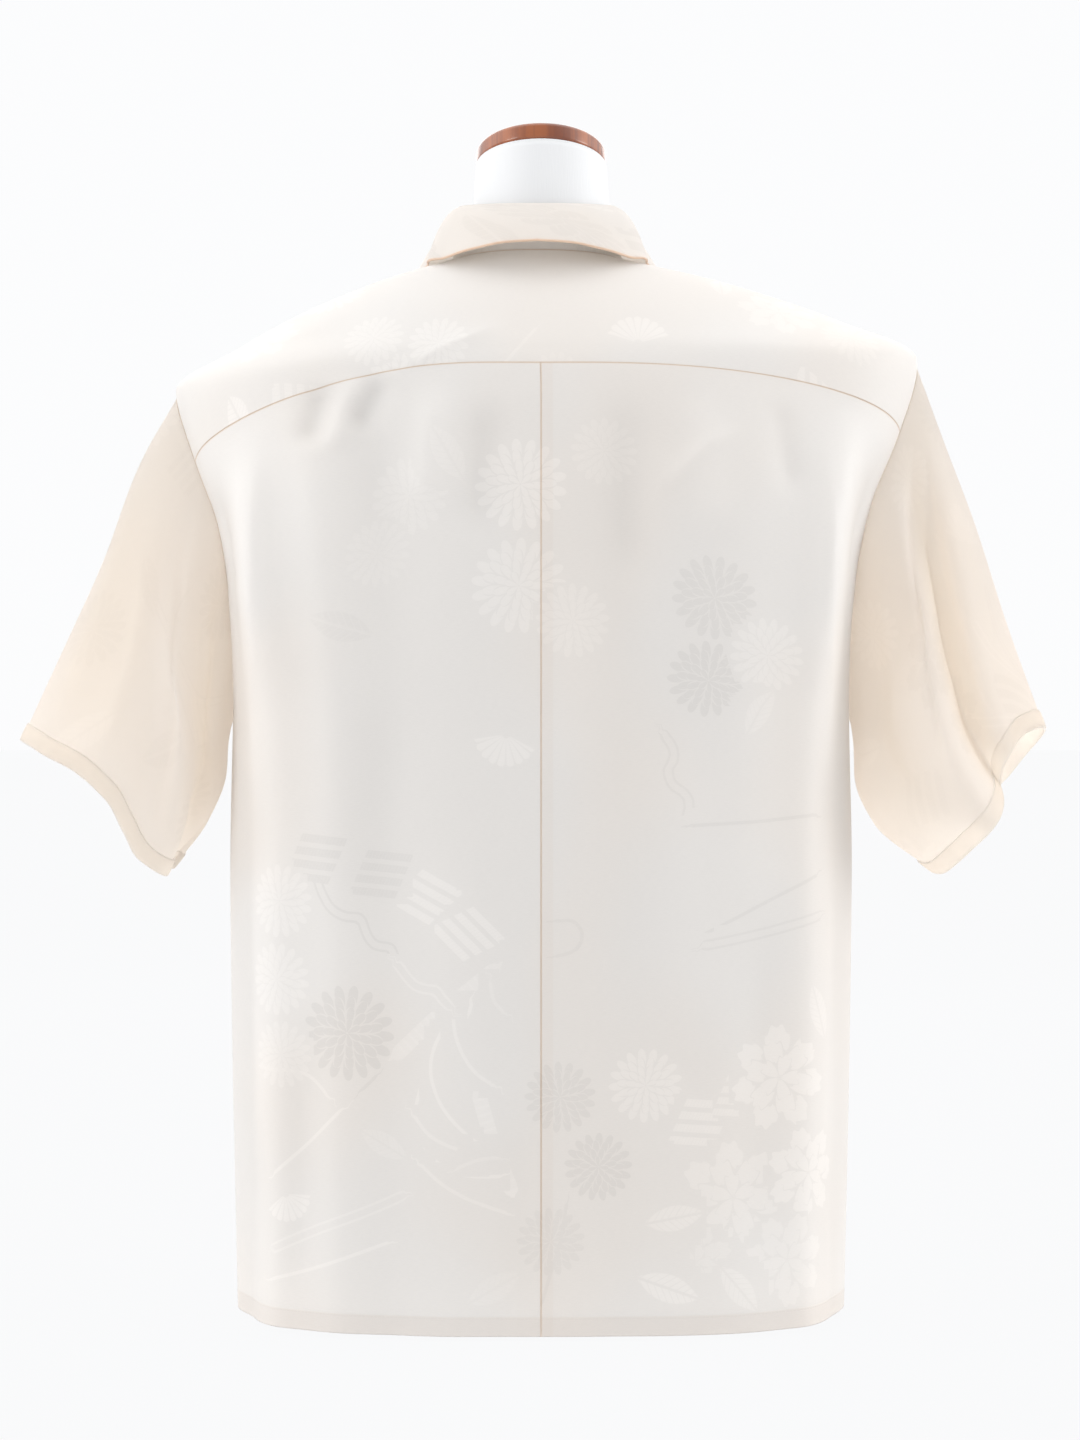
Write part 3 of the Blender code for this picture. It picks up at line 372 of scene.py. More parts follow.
def armhole_at(reach):
    """(degrees, ring) of the armhole. reach: 0 at the shoulder tip, 1 at the armpit round the back, -1 round
    the front."""
    reach = np.asarray(reach, float)
    ring, behind, before = (curve(ARMHOLE, ARMHOLE_COLUMNS, name, np.abs(reach)) for name in ARMHOLE_COLUMNS[1:])
    return np.where(reach > 0, 90 - behind, 90 + before), ring


def inset(share, size):
    """Shares 0 to 1 along an edge of that size, drawn in by half the seam gap at both ends."""
    margin = SEAM_GAP / 2 / size
    return margin + share * (1 - 2 * margin)


def front_degrees(x, ring):
    """The degrees round the front of a ring at which it is x from the centre front."""
    square = ring_value("front_n", ring)
    across = np.abs(x) / ring_value("side_x", ring)
    turn = np.degrees(np.arctan((across**square / (1 - across**square)) ** (1 / square)))
    return 180 - np.sign(x) * turn


def front_edge(share):
    """(degrees, ring) of the front's inner edge."""
    x, ring = (curve(FRONT_EDGE, FRONT_EDGE_COLUMNS, name, share) for name in FRONT_EDGE_COLUMNS[1:])
    return front_degrees(x, ring), ring


def lap_lift(side, degrees):
    """The left front laps over the right one."""
    return (WALL + 2 * LAYER_GAP) * ease(167, 176, degrees) if side > 0 else 0.0


# ---------------------------------------------------------------- finer sizes of the visual model
SILK = 0.0006                # one layer of the silk
HEM_DEPTH = 0.0125           # the turned hem of the body
CUFF_DEPTH = 0.0130          # the turned hem of a sleeve
ALLOWANCE = 0.0075           # the centre back's seam allowance, pressed to the right

# Creases: a soft trough or ridge, or a ridge with a sharper crest. Each runs along a line of points and fades out at
# both ends. A row is the face (1 the back, -1 the front), the shape, the width, the height (a trough's is negative)
# and the points, as x and z.
SOFT, SHARP = 2.0, 1.1
CREST_RADIUS = 0.0008        # of a sharp crest
CREASE_END = 0.3             # the share of a crease's length in which it fades out, at each end
# Painted light and shade: crests are painted lighter and troughs darker, fully at this height.
PAINTED_SHADE_FULL_HEIGHT = 0.0035         # the height of a crest, or the depth of a trough, that changes the colour most
CREASES = (
    (1, SOFT, 0.0095, -0.0036, ((0.098, 0.612), (0.118, 0.572))),
    (1, SOFT, 0.0090, -0.0038, ((0.137, 0.608), (0.150, 0.562))),
    (1, SOFT, 0.0070, 0.0022, ((0.117, 0.612), (0.133, 0.560))),
    (1, SOFT, 0.0130, -0.0034, ((0.034, 0.600), (0.036, 0.550), (0.040, 0.500))),
    (1, SOFT, 0.0100, 0.0020, ((0.067, 0.608), (0.076, 0.520))),
    (1, SHARP, 0.0045, 0.0016, ((0.021, 0.646), (0.060, 0.630), (0.092, 0.612))),
    (1, SOFT, 0.0060, 0.0010, ((0.120, 0.655), (0.170, 0.640))),
    (1, SHARP, 0.0110, 0.0034, ((0.181, 0.585), (0.184, 0.520), (0.184, 0.420), (0.182, 0.300))),
    (1, SHARP, 0.0100, 0.0026, ((0.184, 0.330), (0.181, 0.220), (0.176, 0.090))),
    (1, SHARP, 0.0110, 0.0034, ((-0.180, 0.590), (-0.184, 0.520), (-0.184, 0.430), (-0.183, 0.330))),
    (1, SHARP, 0.0100, 0.0026, ((-0.184, 0.350), (-0.183, 0.240), (-0.180, 0.060))),
    (1, SHARP, 0.0060, 0.0018, ((-0.128, 0.580), (-0.100, 0.562), (-0.072, 0.533))),
    (1, SOFT, 0.0140, -0.0024, ((-0.052, 0.604), (-0.060, 0.470))),
    (1, SOFT, 0.0130, 0.0020, ((-0.100, 0.606), (-0.112, 0.500))),
    (1, SOFT, 0.0090, -0.0022, ((-0.150, 0.600), (-0.160, 0.530))),
    (1, SOFT, 0.0160, 0.0010, ((-0.020, 0.480), (-0.014, 0.330))),
    (1, SOFT, 0.0200, -0.0016, ((0.100, 0.420), (0.112, 0.240))),
    (1, SOFT, 0.0180, 0.0014, ((0.060, 0.330), (0.052, 0.090))),
    (1, SOFT, 0.0220, 0.0016, ((-0.090, 0.400), (-0.098, 0.160))),
    (1, SOFT, 0.0160, -0.0020, ((-0.140, 0.300), (-0.134, 0.020))),
    (1, SOFT, 0.0140, -0.0020, ((0.150, 0.210), (0.156, 0.005))),
    (1, SOFT, 0.0120, -0.0010, ((0.020, 0.140), (0.016, 0.005))),
    (-1, SOFT, 0.0090, 0.0024, ((0.140, 0.600), (0.060, 0.470))),
    (-1, SOFT, 0.0090, 0.0024, ((-0.140, 0.615), (-0.060, 0.490))),
    (-1, SOFT, 0.0110, -0.0026, ((0.165, 0.560), (0.100, 0.430))),
    (-1, SOFT, 0.0110, -0.0026, ((-0.168, 0.570), (-0.104, 0.440))),
    (-1, SHARP, 0.0120, 0.0026, ((0.070, 0.430), (0.074, 0.280), (0.080, 0.120))),
    (-1, SHARP, 0.0120, 0.0026, ((-0.074, 0.430), (-0.076, 0.250), (-0.082, 0.110))),
    (-1, SOFT, 0.0150, -0.0026, ((0.110, 0.380), (0.118, 0.020))),
    (-1, SOFT, 0.0150, -0.0026, ((-0.112, 0.360), (-0.116, 0.020))),
    (-1, SHARP, 0.0110, 0.0030, ((0.182, 0.540), (0.184, 0.400), (0.182, 0.120))),
    (-1, SHARP, 0.0110, 0.0030, ((-0.182, 0.540), (-0.184, 0.380), (-0.182, 0.090))),
    (-1, SOFT, 0.0120, -0.0012, ((0.030, 0.300), (0.034, 0.010))),
    (-1, SOFT, 0.0120, -0.0012, ((-0.040, 0.280), (-0.044, 0.010))),
)
# On a sleeve, a row starts with the shape, and its points are the degrees round from the overarm line to the back and
# the run from the armhole to the hem.
SLEEVE_CREASES = {
    "left": (
        (SHARP, 0.0080, 0.0034, ((74, 0.01), (78, 0.06), (85, 0.15), (97, 0.23), (105, 0.41),
         (115, 0.66), (133, 0.97))),
        (SOFT, 0.0070, -0.0036, ((100, 0.05), (121, 0.15), (134, 0.26), (141, 0.45), (155, 0.72))),
        (SHARP, 0.0035, 0.0018, ((113, 0.22), (119, 0.14), (125, 0.07))),
        (SOFT, 0.0120, -0.0020, ((24, 0.08), (40, 0.55), (48, 0.95))),
        (SOFT, 0.0090, -0.0018, ((66, 0.25), (74, 0.55), (80, 0.90))),
        (SOFT, 0.0120, 0.0016, ((-30, 0.10), (-34, 0.80))),
        (SHARP, 0.0080, 0.0030, ((-84, 0.04), (-96, 0.30), (-108, 0.90))),
        (SOFT, 0.0110, -0.0026, ((-130, 0.15), (-118, 0.90))),
    ),
    "right": (
        (SHARP, 0.0075, 0.0036, ((50, 0.03), (59, 0.07), (78, 0.18), (91, 0.30), (98, 0.58), (113, 0.84))),
        (SHARP, 0.0060, 0.0036, ((44, 0.05), (56, 0.17), (62, 0.32), (64, 0.52), (66, 0.73), (72, 0.93))),
        (SOFT, 0.0060, -0.0030, ((60, 0.10), (77, 0.32), (81, 0.55), (84, 0.80))),
        (SOFT, 0.0090, -0.0018, ((91, 0.04), (108, 0.15), (120, 0.36), (126, 0.72))),
        (SOFT, 0.0100, 0.0018, ((150, 0.20), (130, 0.80))),
        (SOFT, 0.0110, 0.0016, ((24, 0.05), (30, 0.95))),
        (SOFT, 0.0120, 0.0016, ((-28, 0.10), (-30, 0.85))),
        (SHARP, 0.0080, 0.0030, ((-80, 0.04), (-92, 0.35), (-102, 0.92))),
        (SOFT, 0.0110, -0.0026, ((-132, 0.20), (-120, 0.90))),
    ),
}


def steps(count):
    return max(10, round(count * FINE))


# ---------------------------------------------------------------- the weave's own motifs
# The jacquard's figures. A row is the kind, how far across and up the cloth its middle lies, its radius, its turn in
# degrees, and its tone, from 1 for paler to -1 for darker.
MUM, PEONY, SHELL, BARS, LEAF = 1, 2, 3, 4, 5
BACK_BLOOMS = (
    (MUM, 0.013, 0.538, 0.030, 10, 0.8),
    (MUM, 0.014, 0.474, 0.031, 40, 0.7),
    (MUM, -0.020, 0.452, 0.024, 15, 0.5),
    (SHELL, 0.022, 0.380, 0.022, 190, 0.8),
    (MUM, -0.110, 0.472, 0.028, 5, -0.8),
    (MUM, -0.106, 0.417, 0.027, 33, -0.9),
    (MUM, -0.145, 0.436, 0.026, 70, 0.6),
    (LEAF, -0.140, 0.395, 0.020, 120, 0.5),
    (MUM, 0.085, 0.535, 0.026, 20, 0.4),
    (MUM, 0.105, 0.500, 0.022, 50, 0.3),
    (LEAF, 0.060, 0.560, 0.022, 60, 0.4),
    (LEAF, 0.128, 0.455, 0.024, 20, -0.4),
    (MUM, -0.040, 0.560, 0.022, 80, 0.4),
    (BARS, 0.073, 0.277, 0.020, 28, 0.9),
    (BARS, 0.046, 0.254, 0.020, 45, 0.9),
    (BARS, 0.146, 0.300, 0.021, 5, -0.8),
    (BARS, 0.102, 0.291, 0.020, 5, -0.7),
    (MUM, 0.124, 0.190, 0.031, 25, -1.0),
    (MUM, 0.172, 0.272, 0.024, 12, 0.6),
    (MUM, 0.174, 0.222, 0.024, 48, 0.6),
    (MUM, 0.171, 0.174, 0.022, 5, 0.5),
    (SHELL, 0.168, 0.085, 0.019, 160, 0.9),
    (MUM, -0.066, 0.158, 0.024, 30, 0.8),
    (BARS, -0.101, 0.134, 0.020, 5, 0.9),
    (BARS, -0.127, 0.150, 0.018, 5, 0.8),
    (MUM, -0.012, 0.151, 0.023, 12, -0.8),
    (MUM, -0.036, 0.107, 0.022, 60, -0.9),
    (MUM, -0.006, 0.060, 0.022, 33, -0.6),
    (PEONY, -0.155, 0.160, 0.034, 10, 0.9),
    (PEONY, -0.122, 0.086, 0.036, 60, 0.7),
    (PEONY, -0.176, 0.098, 0.030, 100, 0.9),
    (PEONY, -0.160, 0.044, 0.030, 35, 0.6),
    (PEONY, -0.098, 0.046, 0.024, 80, 0.5),
    (LEAF, -0.084, 0.074, 0.020, 170, 0.8),
    (LEAF, -0.080, 0.030, 0.022, 200, 0.9),
    (LEAF, -0.126, 0.028, 0.020, 230, 0.7),
    (LEAF, -0.186, 0.200, 0.020, 70, 0.7),
    (LEAF, 0.100, 0.120, 0.018, 30, 0.4),
    (LEAF, 0.030, 0.030, 0.020, 150, 0.3),
)
# The jacquard's lines. A row is the kind, the tone and the points.
CORD, DOUBLE, POLE = 1, 2, 3
BACK_LINES = (
    (POLE, 0.8, ((0.030, 0.231), (0.062, 0.205), (0.091, 0.178))),
    (CORD, -0.8, ((0.1055, 0.163), (0.1145, 0.154))),
    (CORD, 0.9, ((0.128, 0.141), (0.147, 0.123), (0.176, 0.098))),
    (POLE, 0.9, ((0.039, 0.152), (0.030, 0.121), (0.019, 0.093))),
    (CORD, 0.9, ((0.0435, 0.212), (0.046, 0.203), (0.055, 0.190), (0.065, 0.178), (0.073, 0.166), (0.078, 0.151),
                 (0.080, 0.139), (0.077, 0.126), (0.070, 0.114), (0.058, 0.105), (0.043, 0.101), (0.025, 0.101))),
    (CORD, 0.9, ((0.062, 0.194), (0.068, 0.181), (0.070, 0.169), (0.068, 0.157), (0.062, 0.144), (0.052, 0.132),
                 (0.040, 0.122), (0.031, 0.117))),
    (CORD, 0.8, ((0.0555, 0.202), (0.054, 0.190), (0.049, 0.177), (0.041, 0.166), (0.031, 0.159))),
    (CORD, 0.7, ((0.080, 0.138), (0.071, 0.127), (0.058, 0.120), (0.043, 0.116), (0.029, 0.1145))),
    (CORD, 0.7, ((0.076, 0.108), (0.064, 0.097), (0.049, 0.088), (0.034, 0.082), (0.022, 0.078))),
    (CORD, 0.5, ((0.053, 0.106), (0.041, 0.111), (0.028, 0.113))),
    (CORD, 0.5, ((0.032, 0.223), (0.030, 0.212), (0.024, 0.205))),
    (CORD, 0.8, ((0.184, 0.164), (0.165, 0.164), (0.153, 0.162), (0.144, 0.156), (0.138, 0.150))),
    (DOUBLE, -0.9, ((0.144, 0.285), (0.141, 0.278), (0.135, 0.269), (0.126, 0.264), (0.116, 0.263), (0.1135, 0.258),
                    (0.1105, 0.251), (0.1055, 0.246), (0.0965, 0.2445), (0.0935, 0.239), (0.0905, 0.233))),
    (DOUBLE, 0.7, ((0.0905, 0.233), (0.086, 0.227), (0.080, 0.221), (0.073, 0.219), (0.066, 0.218), (0.0635, 0.214),
                   (0.0585, 0.209))),
    (DOUBLE, -0.7, ((-0.078, 0.379), (-0.083, 0.372), (-0.084, 0.364), (-0.080, 0.357), (-0.083, 0.348),
                    (-0.090, 0.343), (-0.094, 0.336), (-0.092, 0.328), (-0.095, 0.322))),
    (CORD, -0.8, ((-0.095, 0.322), (-0.140, 0.324), (-0.183, 0.327))),
    (CORD, -0.8, ((-0.103, 0.253), (-0.140, 0.270), (-0.183, 0.288))),
    (DOUBLE, -0.7, ((-0.104, 0.246), (-0.150, 0.254), (-0.186, 0.262))),
    (DOUBLE, 0.6, ((0.176, 0.050), (0.150, 0.062), (0.110, 0.078), (0.088, 0.088))),
    (CORD, 0.8, ((0.178, 0.030), (0.140, 0.042), (0.098, 0.058))),
    (CORD, -0.6, ((-0.016, 0.084), (-0.012, 0.060), (-0.006, 0.040), (0.000, 0.020))),
    (CORD, -0.6, ((-0.010, 0.262), (-0.020, 0.262), (-0.026, 0.254), (-0.022, 0.244), (-0.010, 0.240))),
)
YOKE_BLOOMS = (
    (MUM, 0.100, 0.012, 0.026, 10, 0.6),
    (MUM, 0.072, 0.040, 0.022, 30, 0.6),
    (MUM, 0.118, 0.050, 0.022, 60, 0.5),
    (SHELL, -0.068, 0.040, 0.024, 0, 0.8),
    (BARS, -0.196, 0.016, 0.022, 90, 0.7),
    (BARS, 0.172, 0.010, 0.022, 85, 0.6),
    (LEAF, 0.214, 0.022, 0.016, 60, 0.9),
    (LEAF, -0.110, 0.014, 0.018, 140, 0.4),
    (MUM, 0.150, 0.120, 0.024, 10, 0.5),
    (PEONY, 0.200, 0.080, 0.028, 10, 0.5),
    (PEONY, -0.170, 0.090, 0.030, 30, 0.5),
    (LEAF, -0.130, 0.120, 0.020, 90, 0.5),
    (MUM, -0.220, 0.070, 0.022, 30, 0.4),
    (MUM, -0.010, 0.014, 0.020, 30, 0.3),
)
YOKE_LINES = (
    (CORD, 0.5, ((0.060, 0.006), (0.030, 0.022), (0.004, 0.050))),
)


def scattered(seed, width, height, spacing):
    """Figures strewn evenly over a rectangle of cloth that starts at 0, 0, in the same style."""
    draw = np.random.default_rng(seed)
    figures, middles = [], []
    kinds = (MUM, MUM, MUM, PEONY, SHELL, BARS, LEAF, LEAF)
    for _ in range(400):
        across, up = draw.uniform(0, width), draw.uniform(0, height)
        if all(math.hypot(across - a, up - u) > spacing for a, u in middles):
            middles.append((across, up))
            kind = kinds[draw.integers(len(kinds))]
            radius = draw.uniform(0.020, 0.031)
            tone = draw.choice((0.8, 0.6, 0.5, -0.6, -0.8))
            figures.append((kind, across, up, radius, draw.uniform(0, 360), tone))
    return figures


def strewn_lines(seed, width, height, count):
    draw = np.random.default_rng(seed)
    lines = []
    for _ in range(count):
        start = np.array((draw.uniform(0, width), draw.uniform(0, height)))
        heading, points = draw.uniform(0, 2 * math.pi), [start]
        bend = draw.uniform(-0.5, 0.5)
        for _ in range(6):
            heading += bend
            points.append(points[-1] + 0.020 * np.array((math.cos(heading), math.sin(heading))))
        lines.append((draw.choice((CORD, DOUBLE, POLE)), draw.choice((0.7, -0.7)), tuple(map(tuple, points))))
    return lines


def corner_values(grid):
    """A grid's values at each face's four corners."""
    return np.stack([grid[:-1, :-1], grid[:-1, 1:], grid[1:, 1:], grid[1:, :-1]], axis=2)


def stamp_blooms(spot, figures):
    """For each face: the figure's kind, and its own coordinates (-1 to 1) and tone at the face's corners."""
    corners = corner_values(spot)
    kinds = np.zeros(corners.shape[:2])
    values = np.zeros(corners.shape[:3] + (3,))
    for kind, across, up, radius, turn, tone in figures:
        angle = math.radians(turn)
        away = (corners - (across, up)) / radius
        local = np.stack([away[..., 0] * math.cos(angle) + away[..., 1] * math.sin(angle),
                          away[..., 1] * math.cos(angle) - away[..., 0] * math.sin(angle)], axis=-1)
        near = np.hypot(local[..., 0], local[..., 1]).min(axis=2) < 1.0
        kinds[near] = kind
        values[near, :, :2] = local[near]
        values[near, :, 2] = tone
    return kinds, values


def smooth_line(points, spacing=0.002):
    """A smooth curve through the points, with a point about every spacing."""
    points = np.array(points, float)
    padded = np.concatenate([points[:1], points, points[-1:]])
    pieces = []
    for before, start, end, after in zip(padded, padded[1:], padded[2:], padded[3:]):
        count = max(2, int(np.linalg.norm(end - start) / spacing))
        t = np.linspace(0, 1, count, endpoint=False)[:, None]
        pieces.append(0.5 * (2 * start + (end - before) * t + (2 * before - 5 * start + 4 * end - after) * t**2
                             + (3 * start - before - 3 * end + after) * t**3))
    return np.concatenate(pieces + [points[-1:]])


def stamp_lines(spot, lines, reach=0.007):
    """For each face: the line's kind, and the way along it, the way across it and its tone at the corners."""
    corners = corner_values(spot)
    kinds = np.zeros(corners.shape[:2])
    values = np.zeros(corners.shape[:3] + (3,))
    for kind, tone, points in lines:
        path = smooth_line(points)
        low, high = path.min(axis=0) - reach, path.max(axis=0) + reach
        middle = corners.mean(axis=2)
        rows, columns = np.nonzero(((middle > low) & (middle < high)).all(axis=-1))
        if not len(rows):
            continue
        picked = corners[rows, columns]
        ways = np.diff(path, axis=0)
        lengths = np.linalg.norm(ways, axis=1)
        starts = np.concatenate([[0], np.cumsum(lengths)])[:-1]
        units = ways / lengths[:, None]
        offset = picked[:, :, None, :] - path[:-1]
        along = np.clip((offset * units).sum(axis=-1), 0, lengths)
        gap = offset - units * along[..., None]
        nearest = np.linalg.norm(gap, axis=-1).argmin(axis=2)
        side = units[..., 0] * offset[..., 1] - units[..., 1] * offset[..., 0]
        pick = (np.arange(len(rows))[:, None], np.arange(4)[None, :], nearest)
        across = np.sign(side[pick]) * np.linalg.norm(gap, axis=-1)[pick]
        near = np.abs(across).min(axis=1) < reach
        rows, columns = rows[near], columns[near]
        kinds[rows, columns] = kind
        values[rows, columns, :, 0] = (starts[nearest] + along[pick])[near]
        values[rows, columns, :, 1] = across[near]
        values[rows, columns, :, 2] = tone
    return kinds, values


# ---------------------------------------------------------------- sheets
def lengths_along(points, axis):
    """How far each point of a grid is along its row (axis 1) or column (axis 0), from the first one."""
    gaps = np.linalg.norm(np.diff(points, axis=axis), axis=-1)
    start = np.zeros_like(np.take(gaps, [0], axis=axis))
    return np.cumsum(np.concatenate([start, gaps], axis=axis), axis=axis)


def grid_area(points):
    cells = corner_values(points)
    doubled = np.linalg.norm(np.cross(cells[:, :, 2] - cells[:, :, 0], cells[:, :, 3] - cells[:, :, 1]), axis=-1)
    return float(doubled.sum() / 2)


def crease_along(x, y, points, shape, width, lift):
    """How high a crease along a line of points lifts the cloth at x, y."""
    points = smooth_line(points, 0.006) if len(points) > 2 else np.array(points, float)
    ways = np.diff(points, axis=0)
    lengths = np.linalg.norm(ways, axis=1)
    starts = np.concatenate([[0], np.cumsum(lengths)])
    nearest, share = np.full(x.shape, np.inf), np.zeros(x.shape)
    for (x0, y0), (way_x, way_y), length, start in zip(points, ways, lengths, starts):
        along = np.clip(((x - x0) * way_x + (y - y0) * way_y) / length**2, 0, 1)
        gap = np.hypot(x - x0 - along * way_x, y - y0 - along * way_y)
        share = np.where(gap < nearest, (start + along * length) / starts[-1], share)
        nearest = np.minimum(nearest, gap)
    rounded = CREST_RADIUS if shape == SHARP else 0.0
    across = (np.hypot(nearest, rounded) - rounded) / width
    return lift * np.exp(-(across**shape)) * ease(0, CREASE_END, share) * ease(1, 1 - CREASE_END, share)


def crease_height(face, x, z):
    height = np.zeros(x.shape)
    for side, shape, width, lift, points in CREASES:
        height += np.where(face * side > 0, crease_along(x, z, points, shape, width, lift), 0)
    return height


def creased_body(side, degrees, ring, lift=0.0):
    """body_point with the finer creases."""
    plain = body_point(side, degrees, ring, lift)
    face = np.where(np.asarray(degrees) < 90, 1, -1)
    away = ease(4, 26, np.abs(np.asarray(degrees) - 90))
    return body_point(side, degrees, ring, lift + crease_height(face, plain[..., 0], plain[..., 2]) * away)


def fold_painted_shade(side, degrees, ring):
    """How far the cloth stands in a crease or a fold here: 1 on a crest, -1 in a trough. The silk is painted lighter
    by it on a crest and darker in a trough, as painted light and shade.
    """
    plain = body_point(side, degrees, ring)
    face = np.where(np.asarray(degrees) < 90, 1, -1)
    height = crease_height(face, plain[..., 0], plain[..., 2]) + 0.5 * fold_height(side, degrees, ring)
    return np.clip(height / PAINTED_SHADE_FULL_HEIGHT, -1, 1)


def whole_normals(points):
    """The outward normals of a body's grid of points, from its own rows and columns."""
    along = np.gradient(points, axis=0)
    around = np.gradient(points, axis=1)
    normal = np.cross(around, along)
    return normal / np.maximum(np.linalg.norm(normal, axis=-1, keepdims=True), 1e-12)


SIZES, GRIDS = [], {}


def sheet(name, node, points, finish, spot=None, blooms=(), lines=(), wraps=False, flipped=False, thickness=SILK,
          warmth=None, raised=None):
    """A piece of cloth through a grid of points. spot: each point's place on the cloth. warmth: how warm the light
    that comes through it is, 0 to 1, painted into its colour as a warm glow. raised: 1 on the crest of a fold, -1 in a
    trough, painted into its colour as light on the crest and shade in the trough."""
    GRIDS[name] = points
    down, across = lengths_along(points, 0), lengths_along(points, 1)
    if spot is None:
        spot = np.stack([across, down[-1:] - down], axis=-1)
    # How far each point is from the piece's top, inner, hem and outer edges.
    edges = np.stack([down, across, down[-1:] - down, across[:, -1:] - across], axis=-1)
    if flipped:
        points, spot, edges = points[:, ::-1], spot[:, ::-1], edges[:, ::-1]
    if wraps:
        seam = np.linalg.norm(points[:, :1] - points[:, -1:], axis=-1, keepdims=True)
        step = np.concatenate([np.sign(spot[:, -1:, :1] - spot[:, :1, :1]) * seam, np.zeros_like(seam)], axis=-1)
        points = np.concatenate([points, points[:, :1]], axis=1)
        spot = np.concatenate([spot, spot[:, -1:] + step], axis=1)
        edges = np.concatenate([edges, edges[:, :1]], axis=1)
    rows, columns = points.shape[:2]
    number = np.arange(rows * columns).reshape(rows, columns)
    corners_at, edges_at = points, edges
    if wraps:
        number = np.arange(rows * (columns - 1)).reshape(rows, columns - 1)
        number = np.concatenate([number, number[:, :1]], axis=1)
        corners_at, edges_at = points[:, :-1], edges[:, :-1]
    corners_at, edges_at = corners_at.reshape(-1, 3), edges_at.reshape(-1, 4)
    faces = corner_values(number).reshape(-1, 4)
    mesh = bpy.data.meshes.new(name)
    mesh.from_pydata(corners_at.tolist(), [], faces.tolist())
    mesh.shade_smooth()
    store(mesh, "edges", "FLOAT_COLOR", "POINT", edges_at)
    for label, values in (("warmth", warmth), ("raised", raised)):
        if values is not None:
            store(mesh, label, "FLOAT", "POINT", (values[:, ::-1] if flipped else values).reshape(-1))
    store(mesh, "cloth", "FLOAT_VECTOR", "CORNER", np.pad(corner_values(spot).reshape(-1, 2), ((0, 0), (0, 1))))
    for prefix, (kinds, values) in (("bloom", stamp_blooms(spot, blooms)), ("line", stamp_lines(spot, lines))):
        store(mesh, prefix + "_kind", "FLOAT", "FACE", kinds.reshape(-1))
        store(mesh, prefix, "FLOAT_VECTOR", "CORNER", values.reshape(-1, 3))
    obj = put(name, mesh, finish)
    wall = obj.modifiers.new("wall", "SOLIDIFY")
    wall.thickness = thickness
    wall.offset = -1
    wall.use_even_offset = False
    width, length = float(across[:, -1].max()), float(down[-1].max())
    if wraps:
        width += float(np.linalg.norm(points[:, -1] - points[:, -2], axis=-1).max())
    width, length, area = round(width + 0.0005, 3), round(length + 0.0005, 3), round(grid_area(points), 5)
    SIZES.append((name, width, length, area))
    if node:
        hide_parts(node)
    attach(obj, "root")
    return obj


def store(mesh, name, kind, domain, values):
    layer = mesh.attributes.new(name, kind, domain)
    field = "value" if kind == "FLOAT" else "color" if kind == "FLOAT_COLOR" else "vector"
    layer.data.foreach_set(field, np.asarray(values, np.float32).ravel())


def put(name, mesh, finish):
    obj = bpy.data.objects.new(name, mesh)
    mesh.materials.append(finish)
    bpy.context.scene.collection.objects.link(obj)
    return obj


# ---------------------------------------------------------------- the body's panels
BODY_ROWS, BACK_STEPS, FRONT_STEPS = steps(220), steps(104), steps(96)


def crowded(count, low=0.0, high=1.0):
    """Shares from low to high, closer together at both ends, where the seams are."""
    inner = np.linspace(0, 1, count - 4)
    first = inner[1]
    shares = np.concatenate([[0, first * 0.2, first * 0.55], inner[1:-1], [1 - first * 0.55, 1 - first * 0.2, 1]])
    return low + (high - low) * shares


def seam_ring_at(share):
    end_ring = armhole_at(YOKE_END_REACH)[1]
    return blend(YOKE_RING, end_ring, share**2) - YOKE_SEAM_BOW * np.sin(np.pi * share**1.5)


def outer_line(reaches, q):
    """(degrees, ring) of a panel's outer edge at q, counted in the part's rows: the armhole, then the side seam."""
    last = len(reaches) - 1
    reach = np.interp(q, range(len(reaches)), reaches)
    degrees, ring = armhole_at(reach)
    below = np.interp(q, range(last, last + len(BELOW_PIT) + 1), [PIT_RING, *BELOW_PIT])
    return np.where(q <= last, degrees, 90.0), np.where(q <= last, ring, below)


def back_panel(name, side, finish):
    q = crowded(BODY_ROWS, 0, len(ARMHOLE_BACK) - 1 + len(BELOW_PIT))
    outer_degrees, outer_ring = outer_line(ARMHOLE_BACK, q)
    share = crowded(BACK_STEPS)
    seam_ring = seam_ring_at(share) + SEAM_HALF_RING
    level = ease(0, 5, q)[:, None]
    ring = blend(seam_ring + (outer_ring - outer_ring[0])[:, None], outer_ring[:, None], level)
    degrees = outer_degrees[:, None] * inset(share, 0.27)
    points = creased_body(side, degrees, ring)
    down, across = lengths_along(points, 0), lengths_along(points, 1)
    spot = np.stack([across * side, down[-1:] - down], axis=-1)
    return sheet("shirt_back_" + name, "back_" + name, points, finish, spot, BACK_BLOOMS, BACK_LINES,
                 flipped=side < 0, raised=fold_painted_shade(side, degrees, ring))


